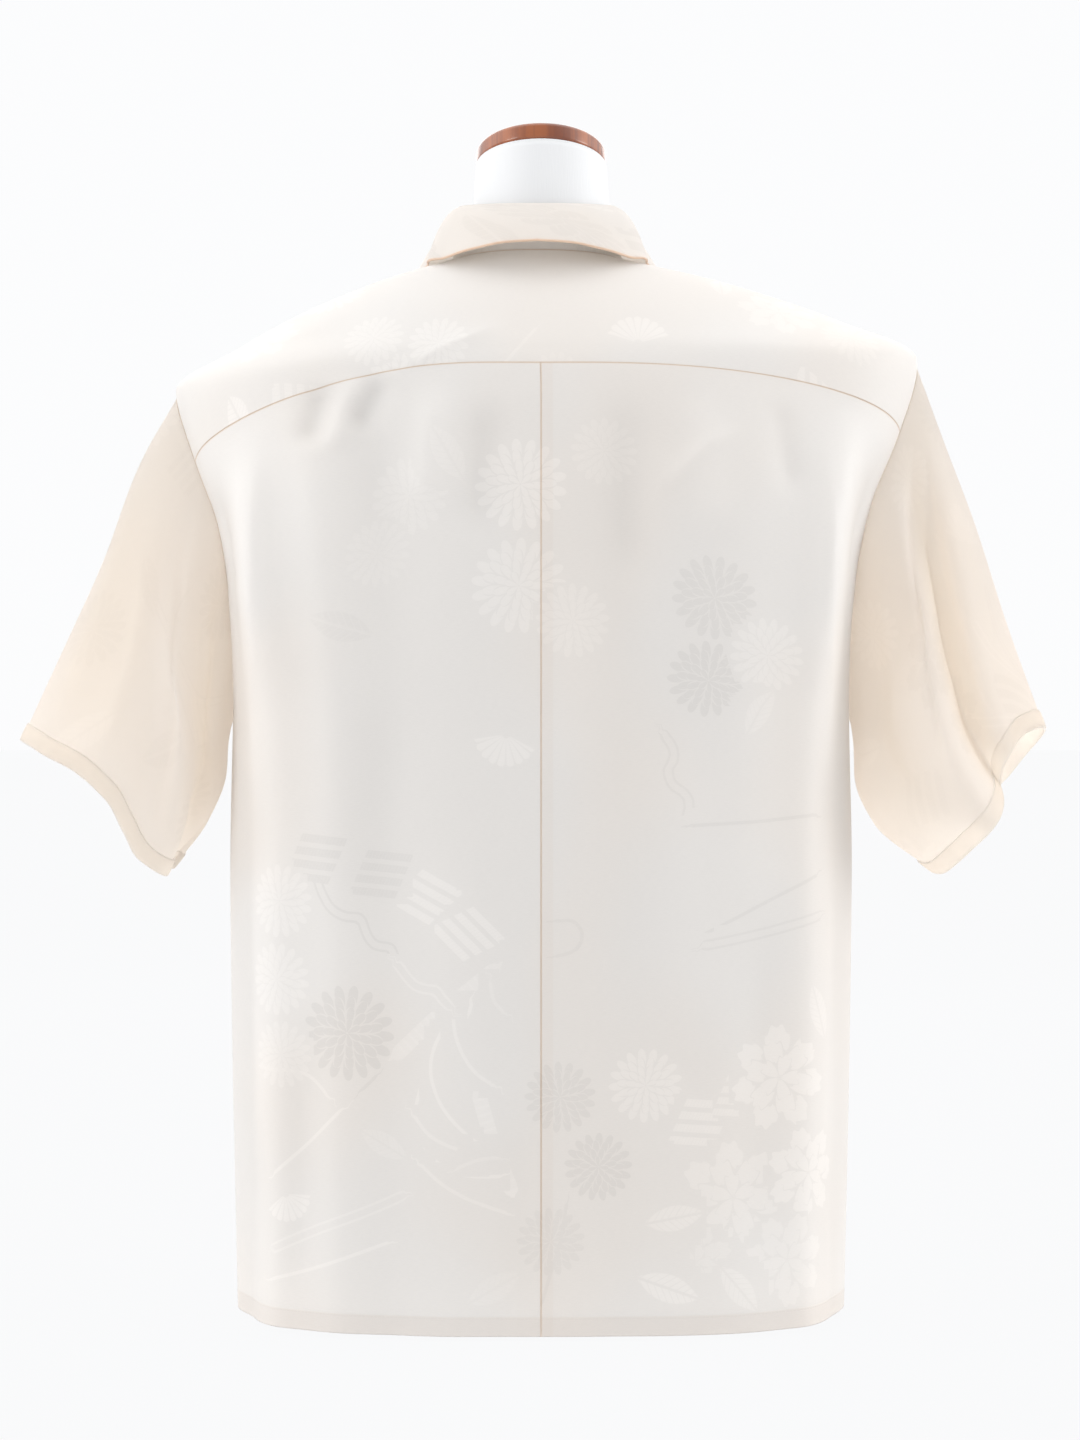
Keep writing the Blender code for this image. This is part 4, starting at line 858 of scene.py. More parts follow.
def yoke(finish):
    along = crowded(steps(120))
    seam_degrees = along * armhole_at(YOKE_END_REACH)[0]
    arm_degrees, arm_ring = armhole_at(np.linspace(YOKE_END_REACH, FRONT_SEAM_REACH, steps(70))[1:])
    outer_degrees = np.concatenate([seam_degrees, arm_degrees])
    outer_ring = np.concatenate([seam_ring_at(along) - SEAM_HALF_RING, arm_ring])
    neck_degrees = front_degrees(FRONT_EDGE[0][1], NECK_RING) * (outer_degrees / outer_degrees[-1])
    out = crowded(steps(64))[:, None]
    degrees = blend(neck_degrees, outer_degrees, out)
    ring = blend(SEAM_HALF_RING, outer_ring, out)
    halves = [creased_body(side, degrees, ring) for side in (1, -1)]
    points = np.concatenate([halves[1][:, :0:-1], halves[0]], axis=1)
    spot = np.stack([points[..., 0] * 1.1, 0.13 - (points[..., 1] - points[..., 2] + 0.64) / math.sqrt(2)], axis=-1)
    return sheet("shirt_yoke", "back_yoke", points, finish, spot, YOKE_BLOOMS, YOKE_LINES)


FRONT_CLOTH, SLEEVE_CLOTH = (0.27, 0.62), (0.46, 0.26)    # where figures are strewn, in metres


def front_panel(name, side, finish):
    q = crowded(BODY_ROWS, 0, len(ARMHOLE_FRONT) - 1 + len(BELOW_PIT))
    last = len(ARMHOLE_FRONT) - 1
    outer_degrees, outer_ring = outer_line(ARMHOLE_FRONT, q)
    inner_degrees, inner_ring = front_edge(np.clip(q / last, 0, 1))
    below = q > last
    inner_ring = np.where(below, outer_ring, inner_ring)
    inner_degrees = np.where(below, front_degrees(-OVERLAP_HALF, outer_ring), inner_degrees)
    share = crowded(FRONT_STEPS)
    degrees = blend(outer_degrees[:, None], inner_degrees[:, None], share)
    ring = blend(outer_ring[:, None], inner_ring[:, None], share)
    gap_degrees = np.degrees(1.5 * SEAM_GAP / ring_value("side_x", ring))
    degrees[0] += gap_degrees[0]
    degrees[:, 0] += gap_degrees[:, 0] / 2
    points = creased_body(side, degrees, ring, lap_lift(side, degrees))
    seed = 11 if side > 0 else 23
    return sheet("shirt_front_" + name, "front_" + name, points, finish,
                 blooms=scattered(seed, *FRONT_CLOTH, 0.058), lines=strewn_lines(seed, *FRONT_CLOTH, 7),
                 flipped=side < 0, raised=fold_painted_shade(side, degrees, ring))


def lapel(name, side, finish):
    down = np.linspace(0.0, LAPEL_LENGTH, steps(70))[:, None]
    out = crowded(steps(34))
    foot = LAPEL_FOOT[name]
    belly = np.sin(np.pi * down)
    roll = [blend(top, end, down) for top, end in zip(LAPEL_TOP, foot)]
    edge = [blend(point, end, down) for point, end in zip(LAPEL_POINT, foot)]
    x, ring = (blend(start, end + bow * belly, out) for start, end, bow in zip(roll, edge, LAPEL_BOW))
    degrees = front_degrees(x, ring)
    lift = WALL + LAYER_GAP + LAPEL_CROWN * np.sin(np.pi * out) + lap_lift(side, degrees)
    points = creased_body(side, degrees, ring, lift)[:, ::-1]
    seed = 5 if side > 0 else 6
    return sheet("shirt_lapel_" + name, "lapel_" + name, points, finish, blooms=scattered(seed, 0.10, 0.16, 0.05),
                 flipped=side < 0, thickness=2 * SILK)


# ---------------------------------------------------------------- the collar
def collar_half(side, degrees):
    """The collar's points, a row for each step from its seam up the stand, over the roll and down the fall."""
    def value(name):
        return curve(COLLAR, COLLAR_COLUMNS, name, degrees)

    seam = body_point(side, degrees, NECK_RING)
    half_width, half_depth = RINGS[0][2], RINGS[0][1]
    away = (seam[:, 0] / half_width**2, seam[:, 1] / half_depth**2, np.zeros(len(seam)))
    outward = np.stack(away, axis=-1)
    outward /= np.linalg.norm(outward, axis=-1, keepdims=True)
    up = np.array([0.0, 0.0, 1.0])
    stand, lean = value("stand")[:, None], value("lean")[:, None]
    foot = seam - outward * (WALL + 2 * SEAM_GAP) - up * 0.001
    top = seam - outward * (lean + COLLAR_ROLL) + up * stand
    edge = body_point(side, value("edge_degrees"), value("edge_ring"), value("edge_lift") + WALL)
    rows = [blend(foot, top, share) for share in np.linspace(0, 1, steps(16))]
    for angle in np.radians(np.linspace(0, COLLAR_TURN, steps(16))[1:]):
        rows.append(top + outward * COLLAR_ROLL * (1 - math.cos(angle)) + up * COLLAR_ROLL * math.sin(angle))
    start = rows[-1]
    knee = start + (edge - start) * np.array(COLLAR_KNEE)
    for share in crowded(steps(26))[1:]:
        rows.append((1 - share) ** 2 * start + 2 * share * (1 - share) * knee + share**2 * edge)
    return np.stack(rows)


def collar(finish):
    degrees = COLLAR[-1][0] * (1 - (1 - np.linspace(0, 1, steps(90))) ** 1.15)
    halves = [collar_half(side, degrees) for side in (1, -1)]
    points = np.concatenate([halves[1][:, :0:-1], halves[0]], axis=1)
    return sheet("shirt_collar", "collar", points, finish, blooms=scattered(31, 0.42, 0.10, 0.050), thickness=2 * SILK)


# ---------------------------------------------------------------- the sleeves
def sleeve_folds(name, run, turn):
    height = np.zeros(np.broadcast(run, turn).shape)
    for at_top, at_hem, width, high, mid, low in SLEEVE_FOLDS[name]:
        middle = blend(at_top, at_hem, run)
        across = np.exp(-(((turn - middle) / width) ** 2))
        height = height + across * smooth_through((0, 0.5, 1), (high, mid, low), run)
    return height


def sleeve_surface(name, side, run, turn):
    """A sleeve's outer face. turn: 0 along the overarm, 90 at the back, 180 under the arm, -90 in front."""
    values = {c: curve(SLEEVES[name], SLEEVE_COLUMNS, c, run) for c in SLEEVE_COLUMNS[1:]}
    angle = np.radians(turn)
    square = values["square"]
    radius = (np.abs(np.sin(angle)) ** square + np.abs(np.cos(angle)) ** square) ** (-1 / square)
    along, across = np.cos(angle) * radius, np.sin(angle) * radius
    half_x = (values["outer_x"] - values["inner_x"]) / 2
    half_z = (values["outer_z"] - values["inner_z"]) / 2
    swell = 1 + sleeve_folds(name, run, turn) / 0.07
    x = (values["outer_x"] + values["inner_x"]) / 2 + half_x * along * swell
    z = (values["outer_z"] + values["inner_z"]) / 2 + half_z * along * swell
    y = values["centre_y"] + values["depth"] * across * swell
    rise = curve(HEM_RISE[name], HEM_RISE_COLUMNS, "rise", turn) * run**2
    chord = np.hypot(half_x, half_z)
    return np.stack([(x - rise * half_z / chord) * side, y, z + rise * half_x / chord], axis=-1)


SLEEVE_ROUND, SLEEVE_LONG = 0.42, 0.25    # rough sizes, for placing creases
# A sleeve's warm glow of light through and between its layers is painted into its colour, most in the troughs.
PLAIN_WARMTH = 0.16          # the warmth of the light through a sleeve where it lies plain
WARM_DEPTH = 0.016           # the depth of a trough that makes it 1 more


def sleeve_crease_height(name, run, turn):
    run, turn = np.broadcast_arrays(run, turn)
    height = np.zeros(run.shape)
    for shape, width, lift, points in SLEEVE_CREASES[name]:
        flat = [(degrees / 360 * SLEEVE_ROUND, along * SLEEVE_LONG) for degrees, along in points]
        height += crease_along(turn / 360 * SLEEVE_ROUND, run * SLEEVE_LONG, flat, shape, width, lift)
    return height


def sleeve_points(name, side, run, reach):
    turn = reach * 180
    tube = sleeve_surface(name, side, run, turn)
    degrees, ring = armhole_at(reach)
    armhole = body_point(side, degrees, ring, SLEEVE_GAP)
    away = sleeve_surface(name, side, np.full((1, 1), 0.20), turn)[0] - armhole
    away /= np.linalg.norm(away, axis=-1, keepdims=True)
    start = armhole + away * SLEEVE_GAP
    top = sleeve_surface(name, side, np.zeros((1, 1)), turn)
    points = blend(start + (tube - top) * 0.9, tube, ease(0, 0.30, run)[..., None])
    wrapped = np.concatenate([points[:, -1:], points, points[:, :1]], axis=1)
    normal = whole_normals(wrapped)[:, 1:-1] * (-side)
    lift = sleeve_crease_height(name, run, turn) * ease(0.02, 0.14, run)
    return points + normal * lift[..., None]


def sleeve(name, side, finish):
    run = crowded(steps(92))[:, None]
    reach = np.linspace(1, -1, steps(210), endpoint=False)
    points = sleeve_points(name, side, run, reach)
    seed = 41 if side > 0 else 47
    turn = reach * 180
    # Painted warm glow: more in the sleeve's troughs, less near the overarm line and towards the hem.
    depth = -sleeve_folds(name, run, turn) - sleeve_crease_height(name, run, turn)
    warmth = np.clip(PLAIN_WARMTH + depth / WARM_DEPTH, 0, 1)
    warmth = warmth * ease(10, 40, np.abs(turn)) * (1 - 0.7 * ease(0.70, 1.0, run))
    return sheet("shirt_sleeve_" + name, "sleeve_" + name, points, finish, wraps=True, flipped=side < 0, warmth=warmth,
                 blooms=scattered(seed, *SLEEVE_CLOTH, 0.056), lines=strewn_lines(seed, *SLEEVE_CLOTH, 5))


# ---------------------------------------------------------------- turned hems
# A turned hem's inner layer: how far up each row lies as a share of the hem's depth, and how far in, in layers.
TURN = ((1.00, 1.5), (0.90, 2.0), (0.50, 2.4), (0.10, 2.2), (0.02, 1.3))


def turned_hem(name, outer, depth, finish, outward, wraps=False, flipped=False):
    """The layer that is turned up inside a hem, from the lowest rows of the panel outside it."""
    left = lengths_along(outer, 0)
    left = left[-1:] - left
    rows = np.empty((len(TURN),) + outer.shape[1:])
    for r, (up, _) in enumerate(TURN):
        for c in range(outer.shape[1]):
            for k in range(3):
                rows[r, c, k] = np.interp(up * depth, left[::-1, c], outer[::-1, c, k])
    wide = np.concatenate([rows[:, -1:], rows, rows[:, :1]], axis=1) if wraps else rows
    normal = whole_normals(wide) * outward
    if wraps:
        normal = normal[:, 1:-1]
    layers = np.array([row[1] for row in TURN])[:, None, None]
    return sheet(name, None, rows - normal * layers * SILK, finish, wraps=wraps, flipped=flipped)


# ---------------------------------------------------------------- the silk
class Graph:
    """Short names for a material's maths."""

    def __init__(self, tree):
        self.tree = tree

    def node(self, kind, **values):
        made = self.tree.nodes.new(kind)
        for name, value in values.items():
            setattr(made, name, value)
        return made

    def link(self, value, socket):
        if isinstance(value, bpy.types.NodeSocket):
            self.tree.links.new(value, socket)
        else:
            socket.default_value = value

    def math(self, operation, *values):
        made = self.node("ShaderNodeMath", operation=operation)
        for socket, value in zip(made.inputs, values):
            self.link(value, socket)
        return made.outputs[0]

    def add(self, a, b):
        return self.math("ADD", a, b)

    def sub(self, a, b):
        return self.math("SUBTRACT", a, b)

    def mul(self, a, b):
        return self.math("MULTIPLY", a, b)

    def div(self, a, b):
        return self.math("DIVIDE", a, b)

    def step(self, value, low, high):
        """0 where value is under low, 1 over high, and smooth between; the other way round if high is under low."""
        made = self.node("ShaderNodeMapRange", interpolation_type="SMOOTHSTEP")
        flip = high < low
        for socket, number in zip(made.inputs, (value, min(low, high), max(low, high), float(flip), float(not flip))):
            self.link(number, socket)
        return made.outputs[0]

    def mix(self, share, a, b):
        made = self.node("ShaderNodeMix", data_type="RGBA")
        for name, value in (("Factor", share), ("A", a), ("B", b)):
            socket = next(s for s in made.inputs if s.name == name and s.enabled)
            self.link(value, socket)
        return next(s for s in made.outputs if s.enabled)

    def wave(self, value, shift=10.0):
        """1 at each whole value and 0 halfway to the next, in straight slopes. shift keeps it above zero."""
        place = self.math("FRACT", self.add(value, shift))
        return self.mul(self.math("ABSOLUTE", self.sub(place, 0.5)), 2.0)

    def attribute(self, name):
        return self.node("ShaderNodeAttribute", attribute_name=name)

    def split(self, vector):
        made = self.node("ShaderNodeSeparateXYZ")
        self.link(vector, made.inputs[0])
        return made.outputs

    def is_kind(self, kinds, kind):
        return self.math("COMPARE", kinds, float(kind), 0.25)

    def noise(self, vector, scale, detail=2.0, rough=0.5, dimensions="3D"):
        made = self.node("ShaderNodeTexNoise", noise_dimensions=dimensions)
        self.link(vector, made.inputs["Vector"])
        self.link(scale, made.inputs["Scale"])
        self.link(detail, made.inputs["Detail"])
        self.link(rough, made.inputs["Roughness"])
        return made.outputs[0]

    def stretched(self, vector, across, along):
        made = self.node("ShaderNodeVectorMath", operation="MULTIPLY")
        self.link(vector, made.inputs[0])
        made.inputs[1].default_value = (across, along, 1.0)
        return made.outputs[0]


# A flower's layers, the outer first: how many petals, from which radius to which, how far turned, how full, and how
# deep the lobes of their tips are.
MUM_PETALS = ((17, 0.50, 0.98, 0.0, 0.86, 0.0), (15, 0.30, 0.76, 0.5, 0.86, 0.0), (11, 0.14, 0.54, 0.2, 0.84, 0.0),
              (7, 0.02, 0.30, 0.0, 0.80, 0.0))
PEONY_PETALS = ((7, 0.30, 0.98, 0.0, 0.94, 0.06), (6, 0.18, 0.70, 0.4, 0.92, 0.07), (5, 0.04, 0.42, 0.1, 0.90, 0.08))


def petals(g, radius, angle, layers):
    """A flower in polar coordinates: 1 on a petal, 0 on the lines between petals and outside."""
    value = 0.0
    for count, start, end, turn, full, lobes in layers:
        off = g.wave(g.mul(angle, count / (2 * math.pi)), turn + 10.0)
        reach = g.div(g.sub(radius, start), end - start)
        if lobes:
            reach = g.add(reach, g.mul(g.math("COSINE", g.mul(angle, count * 4.0)), lobes))
        tip = g.math("MAXIMUM", g.sub(1.0, g.mul(g.mul(reach, reach), reach)), 0.0)
        width = g.math("SQRT", tip)
        inside = g.mul(g.step(g.sub(g.mul(width, 1.10), off), 0.0, 0.02), g.step(reach, -0.02, 0.02))
        petal = g.step(g.sub(g.mul(width, full), off), 0.0, 0.10)
        value = g.add(g.mul(value, g.sub(1.0, inside)), g.mul(petal, inside))
    return value


def shell(g, x, y, radius):
    """A fan of ribs with a scalloped rim."""
    angle = g.math("ARCTAN2", x, y)
    off = g.wave(g.mul(angle, 3.2), 10.5)
    rim = g.sub(0.95, g.mul(g.mul(off, off), 0.09))
    inside = g.mul(g.step(g.sub(rim, radius), 0.0, 0.03), g.step(radius, 0.10, 0.14))
    sector = g.step(g.math("ABSOLUTE", angle), 1.28, 1.22)
    return g.mul(g.mul(inside, sector), g.add(g.mul(g.step(off, 0.86, 0.70), 0.8), 0.2))


def bars(g, x, y):
    """Four slanting bars, each of fine upright strokes."""
    row = g.wave(g.mul(y, 2.5))
    lean = g.add(x, g.mul(y, 0.35))
    inside = g.mul(g.step(g.math("ABSOLUTE", lean), 0.78, 0.72), g.step(g.math("ABSOLUTE", y), 0.80, 0.78))
    stroke = g.wave(g.mul(lean, 9.0))
    return g.mul(g.mul(g.step(row, 0.66, 0.58), inside), g.add(g.mul(g.step(stroke, 0.90, 0.75), 0.5), 0.5))


def leaf(g, x, y):
    """A pointed leaf with a midrib and side veins."""
    half = g.mul(g.sub(1.0, g.mul(x, x)), 0.42)
    off = g.math("ABSOLUTE", y)
    vein = g.wave(g.mul(g.sub(x, g.mul(off, 0.9)), 4.5))
    body = g.mul(g.step(g.sub(half, off), 0.0, 0.05), g.step(off, 0.02, 0.06))
    return g.mul(body, g.add(g.mul(g.step(vein, 0.88, 0.74), 0.7), 0.3))


def lines_of(g, along, across, kinds):
    off = g.math("ABSOLUTE", across)
    cord = g.step(off, 0.0014, 0.0008)
    double = g.step(g.math("ABSOLUTE", g.sub(off, 0.0027)), 0.0010, 0.0005)
    dash = g.wave(g.div(along, 0.005))
    pole = g.mul(g.step(off, 0.0050, 0.0044), g.add(g.mul(g.step(dash, 0.35, 0.25), 0.3), 0.7))
    drawn = [g.mul(value, g.is_kind(kinds, kind)) for kind, value in ((CORD, cord), (DOUBLE, double), (POLE, pole))]
    return g.add(g.add(drawn[0], drawn[1]), drawn[2])


GROUND = (0.878, 0.860, 0.842)
GROUND_WARM = (0.888, 0.852, 0.818)
# The painted warm glow of light in a sleeve's troughs.
PAINTED_GLOW_TINT = (0.930, 0.865, 0.770)
# A seam's line: partly its thread and doubled edge, partly painted shadow.
SEAM_LINE_AND_SHADOW_TINT = (0.760, 0.590, 0.450)
# Painted shade of the doubled cloth: the hem's band, and the seam allowance under the back.
HEM_PAINTED_SHADE_TINT = (0.84, 0.735, 0.650)
ALLOWANCE_PAINTED_SHADE_TINT = (0.82, 0.735, 0.665)
THROUGH = (0.97, 0.93, 0.88)
# The last of these paints light on the crests of folds and shade in their troughs.
FIGURE_LIGHT, SLUB_LIGHT, FOLD_PAINTED_LIGHT_AND_SHADE = 0.080, 0.050, 0.045    # how much each of them changes the colour
STITCH_LENGTH = 0.0026       # from one stitch of a hem to the next


def woven_figures(g):
    """What the jacquard adds here: up to 1 on a paler figure or line, down to -1 on a darker one."""
    x, y, tone = g.split(g.attribute("bloom").outputs["Vector"])
    kinds = g.attribute("bloom_kind").outputs["Fac"]
    radius = g.math("SQRT", g.add(g.mul(x, x), g.mul(y, y)))
    angle = g.math("ARCTAN2", y, x)
    drawn = [(MUM, petals(g, radius, angle, MUM_PETALS)), (PEONY, petals(g, radius, angle, PEONY_PETALS)),
             (SHELL, shell(g, x, y, radius)), (BARS, bars(g, x, y)), (LEAF, leaf(g, x, y))]
    figure = 0.0
    for kind, value in drawn:
        figure = g.add(figure, g.mul(value, g.is_kind(kinds, kind)))
    along, across, line_tone = g.split(g.attribute("line").outputs["Vector"])
    line = lines_of(g, along, across, g.attribute("line_kind").outputs["Fac"])
    return g.add(g.mul(figure, tone), g.mul(g.mul(line, line_tone), g.sub(1.0, figure)))


def edge_distances(g):
    """How far the cloth here is from its piece's top, inner, hem and outer edges."""
    edges = g.attribute("edges")
    parts = g.node("ShaderNodeSeparateColor")
    g.link(edges.outputs["Color"], parts.inputs[0])
    return [*parts.outputs, edges.outputs["Alpha"]]


def silk(name, hem=0.0, allowance=0.0, band_tint=0.22, clear=0.28, through_tint=THROUGH, edge_width=0.0008,
         edge_line_and_shadow_tint=SEAM_LINE_AND_SHADOW_TINT):
    """Crepe silk with satin figures. hem: the depth of its turned hem. allowance: of the seam at its inner edge, where
    the doubled cloth is painted as a darker, warmer band of shade. band_tint: how much the hem's colour differs, as
    painted shade of the doubled cloth. clear: how much of the light comes through the cloth."""
    mat = bpy.data.materials.new(name)
    mat.use_nodes = True
    tree = mat.node_tree
    g = Graph(tree)
    shader = tree.nodes["Principled BSDF"]
    cloth = g.attribute("cloth").outputs["Vector"]
    along_hem = g.split(cloth)[0]
    value = woven_figures(g)
    top, inner, low, outer = edge_distances(g)
    nearest = g.math("MINIMUM", top, g.math("MINIMUM", inner, outer))
    if not hem:
        nearest = g.math("MINIMUM", nearest, low)
    # A thin line along the piece's edges: partly the seam itself, partly painted shadow in it.
    seam = g.step(nearest, edge_width, edge_width / 4)

    patch = g.noise(g.stretched(cloth, 7.0, 5.0), 1.0, 1.0, dimensions="2D")
    colour = g.mix(g.step(patch, 0.35, 0.68), (*GROUND, 1), (*GROUND_WARM, 1))
    # Painted warm glow of light through the cloth, as much as the warmth attribute gives.
    colour = g.mix(g.attribute("warmth").outputs["Fac"], colour, (*PAINTED_GLOW_TINT, 1))
    slub = g.noise(g.stretched(cloth, 260.0, 1500.0), 1.0, 1.0, 0.6, "2D")
    weave_tone_and_painted_shade = g.add(g.add(1.0, g.mul(value, FIGURE_LIGHT)), g.mul(g.sub(slub, 0.5), SLUB_LIGHT))
    # Painted light on the crests of folds and creases, painted shade in their troughs.
    weave_tone_and_painted_shade = g.add(weave_tone_and_painted_shade, g.mul(g.attribute("raised").outputs["Fac"], FOLD_PAINTED_LIGHT_AND_SHADE))
    if hem:
        band = g.step(low, hem + 0.0004, hem - 0.0004)
        dash = g.wave(g.div(along_hem, STITCH_LENGTH), 50.0)
        row = g.step(g.math("ABSOLUTE", g.sub(low, hem - 0.0014)), 0.00045, 0.0002)
        stitch = g.mul(row, g.step(dash, 0.80, 0.66))
        # Painted shade of the doubled cloth in the hem's band.
        colour = g.mix(g.mul(band, band_tint), colour, (*HEM_PAINTED_SHADE_TINT, 1))
        weave_tone_and_painted_shade = g.sub(weave_tone_and_painted_shade, g.mul(stitch, 0.02))
    if allowance:
        under = g.step(inner, allowance + 0.0006, allowance - 0.0006)
        # The allowance lying under the silk, with the shade of the doubled layer painted in as a darker, warmer band.
        colour = g.mix(g.mul(under, 0.22), colour, (*ALLOWANCE_PAINTED_SHADE_TINT, 1))
    # The seam line's tint, partly the seam's own colour and partly painted shadow.
    colour = g.mix(g.mul(seam, 0.75), colour, (*edge_line_and_shadow_tint, 1))
    scaled = g.node("ShaderNodeVectorMath", operation="SCALE")
    g.link(colour, scaled.inputs[0])
    g.link(weave_tone_and_painted_shade, scaled.inputs["Scale"])
    g.link(scaled.outputs[0], shader.inputs["Base Color"])
    g.link(g.sub(0.50, g.mul(value, 0.14)), shader.inputs["Roughness"])
    shader.inputs["Specular IOR Level"].default_value = 0.35

    height = g.mul(slub, 0.6)
    if hem:
        height = g.sub(g.add(height, g.mul(band, 8.0 * band_tint)), g.mul(stitch, 1.0))
    height = g.sub(height, g.mul(seam, 1.0))
    bump = g.node("ShaderNodeBump")
    bump.inputs["Strength"].default_value = 0.6
    bump.inputs["Distance"].default_value = 0.00008
    g.link(height, bump.inputs["Height"])
    g.link(bump.outputs[0], shader.inputs["Normal"])

    through = g.node("ShaderNodeBsdfTranslucent")
    through.inputs["Color"].default_value = (*through_tint, 1)
    g.link(bump.outputs[0], through.inputs["Normal"])
    mixed = g.node("ShaderNodeMixShader")
    mixed.inputs[0].default_value = clear
    g.link(shader.outputs[0], mixed.inputs[1])
    g.link(through.outputs[0], mixed.inputs[2])
    g.link(mixed.outputs[0], tree.nodes["Material Output"].inputs["Surface"])
    return mat


def simple(name, colour, roughness):
    mat = bpy.data.materials.new(name)
    mat.use_nodes = True
    shader = mat.node_tree.nodes["Principled BSDF"]
    shader.inputs["Base Color"].default_value = (*colour, 1)
    shader.inputs["Roughness"].default_value = roughness
    return mat, Graph(mat.node_tree), shader


def object_place(g):
    return g.node("ShaderNodeTexCoord").outputs["Object"]


def bumped(g, shader, height, distance):
    bump = g.node("ShaderNodeBump")
    bump.inputs["Distance"].default_value = distance
    g.link(height, bump.inputs["Height"])
    g.link(bump.outputs[0], shader.inputs["Normal"])


def form_cover():
    """Smooth pale jersey, stretched over the form."""
    mat, g, shader = simple("form_cover", (0.80, 0.80, 0.80), 0.62)
    place = object_place(g)
    knit = g.noise(g.stretched(place, 1400.0, 1400.0), 1.0, 1.0)
    patch = g.noise(place, 9.0, 2.0)
    g.link(g.mix(patch, (0.755, 0.765, 0.780, 1), (0.790, 0.798, 0.810, 1)), shader.inputs["Base Color"])
    shader.inputs["Sheen Weight"].default_value = 0.1
    bumped(g, shader, knit, 0.00006)
    return mat


def varnished_wood():
    """Orange-brown wood under a glossy varnish, its grain running across the cap."""
    mat, g, shader = simple("varnished_wood", (0.45, 0.14, 0.04), 0.30)
    place = object_place(g)
    grain = g.noise(g.stretched(place, 16.0, 210.0), 1.0, 4.0, 0.6)
    pores = g.noise(g.stretched(place, 60.0, 1500.0), 1.0, 2.0, 0.5)
    colour = g.mix(g.step(grain, 0.34, 0.66), (0.185, 0.043, 0.013, 1), (0.360, 0.098, 0.024, 1))
    colour = g.mix(g.mul(g.step(pores, 0.62, 0.74), 0.55), colour, (0.090, 0.022, 0.009, 1))
    g.link(colour, shader.inputs["Base Color"])
    shader.inputs["Coat Weight"].default_value = 0.7
    shader.inputs["Coat Roughness"].default_value = 0.10
    bumped(g, shader, pores, 0.00005)
    return mat


def pearl():
    mat, g, shader = simple("pearl_button", (0.80, 0.76, 0.68), 0.22)
    place = object_place(g)
    swirl = g.noise(g.stretched(place, 320.0, 320.0), 1.0, 3.0)
    g.link(g.mix(g.step(swirl, 0.3, 0.7), (0.74, 0.69, 0.61, 1), (0.88, 0.86, 0.81, 1)), shader.inputs["Base Color"])
    shader.inputs["Coat Weight"].default_value = 0.5
    return mat


def thread():
    mat, g, shader = simple("thread", (0.80, 0.75, 0.68), 0.6)
    twist = g.noise(g.stretched(object_place(g), 3000.0, 3000.0), 1.0, 1.0)
    g.link(g.mix(twist, (0.74, 0.68, 0.60, 1), (0.86, 0.81, 0.74, 1)), shader.inputs["Base Color"])
    return mat


# ---------------------------------------------------------------- buttons, their thread and buttonholes
# A button's profile, from the middle of its face over the rim to its back, in shares of its radius and of half its
# thickness.
BUTTON_PROFILE = ((0.0, 0.5), (0.60, 0.5), (0.70, 0.62), (0.78, 0.95), (0.85, 1.0), (0.92, 0.95), (0.98, 0.65),
                  (1.0, 0.1), (0.99, -0.6), (0.90, -1.0), (0.0, -1.0))
HOLES = ((1, 1), (-1, 1), (-1, -1), (1, -1))
HOLE_SPREAD = BUTTON_RADIUS * 0.27    # from the button's middle to a hole, along X and along Y
SEWING_THICKNESS = 0.00035
SEWING_NUDGE = 0.00022       # from the middle of a hole to each of the two threads through it
BUTTONHOLE_LENGTH = 0.0150
BUTTONHOLE_START = 0.0045    # from the centre front to the hole's end that is nearer the wearer's right
BUTTONHOLE_STITCHES = 46     # on each side of the slit
BUTTONHOLE_HALF = 0.0011     # half the height of the stitched band
STITCH_THICKNESS = 0.00028


def front_ring(height):
    """The ring whose centre front is at that height."""
    rings = np.linspace(NECK_RING, HEM_RING, 1301)
    return float(np.interp(-height, -ring_value("front_z", rings), rings))


def turned(name, profile, count, finish):
    """A body turned about its own Z axis from a profile of radii and heights."""
    mesh = bpy.data.meshes.new(name)
    angles = np.linspace(0, 2 * np.pi, count, endpoint=False)
    points, faces = [], []
    for radius, height in profile:
        points += [(radius * math.cos(a), radius * math.sin(a), height) for a in angles]
    for row in range(len(profile) - 1):
        for c in range(count):
            after = (c + 1) % count
            faces.append((row * count + c, (row + 1) * count + c, (row + 1) * count + after, row * count + after))
    mesh.from_pydata(points, [], faces)
    solid = bmesh.new()
    solid.from_mesh(mesh)
    bmesh.ops.remove_doubles(solid, verts=solid.verts, dist=1e-6)
    bmesh.ops.recalc_face_normals(solid, faces=solid.faces)
    solid.to_mesh(mesh)
    solid.free()
    mesh.shade_smooth()
    return put(name, mesh, finish)


def settle_in(obj, node):
    if node:
        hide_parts(node)
    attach(obj, "root")
    return obj


def tube(name, paths, thickness, finish):
    curve = bpy.data.curves.new(name, "CURVE")
    curve.dimensions = "3D"
    curve.bevel_depth = thickness / 2
    curve.bevel_resolution = 2
    curve.use_fill_caps = True
    for path in paths:
        line = curve.splines.new("POLY")
        line.points.add(len(path) - 1)
        for point, place in zip(line.points, path):
            point.co = (*place, 1)
    curve.materials.append(finish)
    obj = bpy.data.objects.new(name, curve)
    bpy.context.scene.collection.objects.link(obj)
    return obj


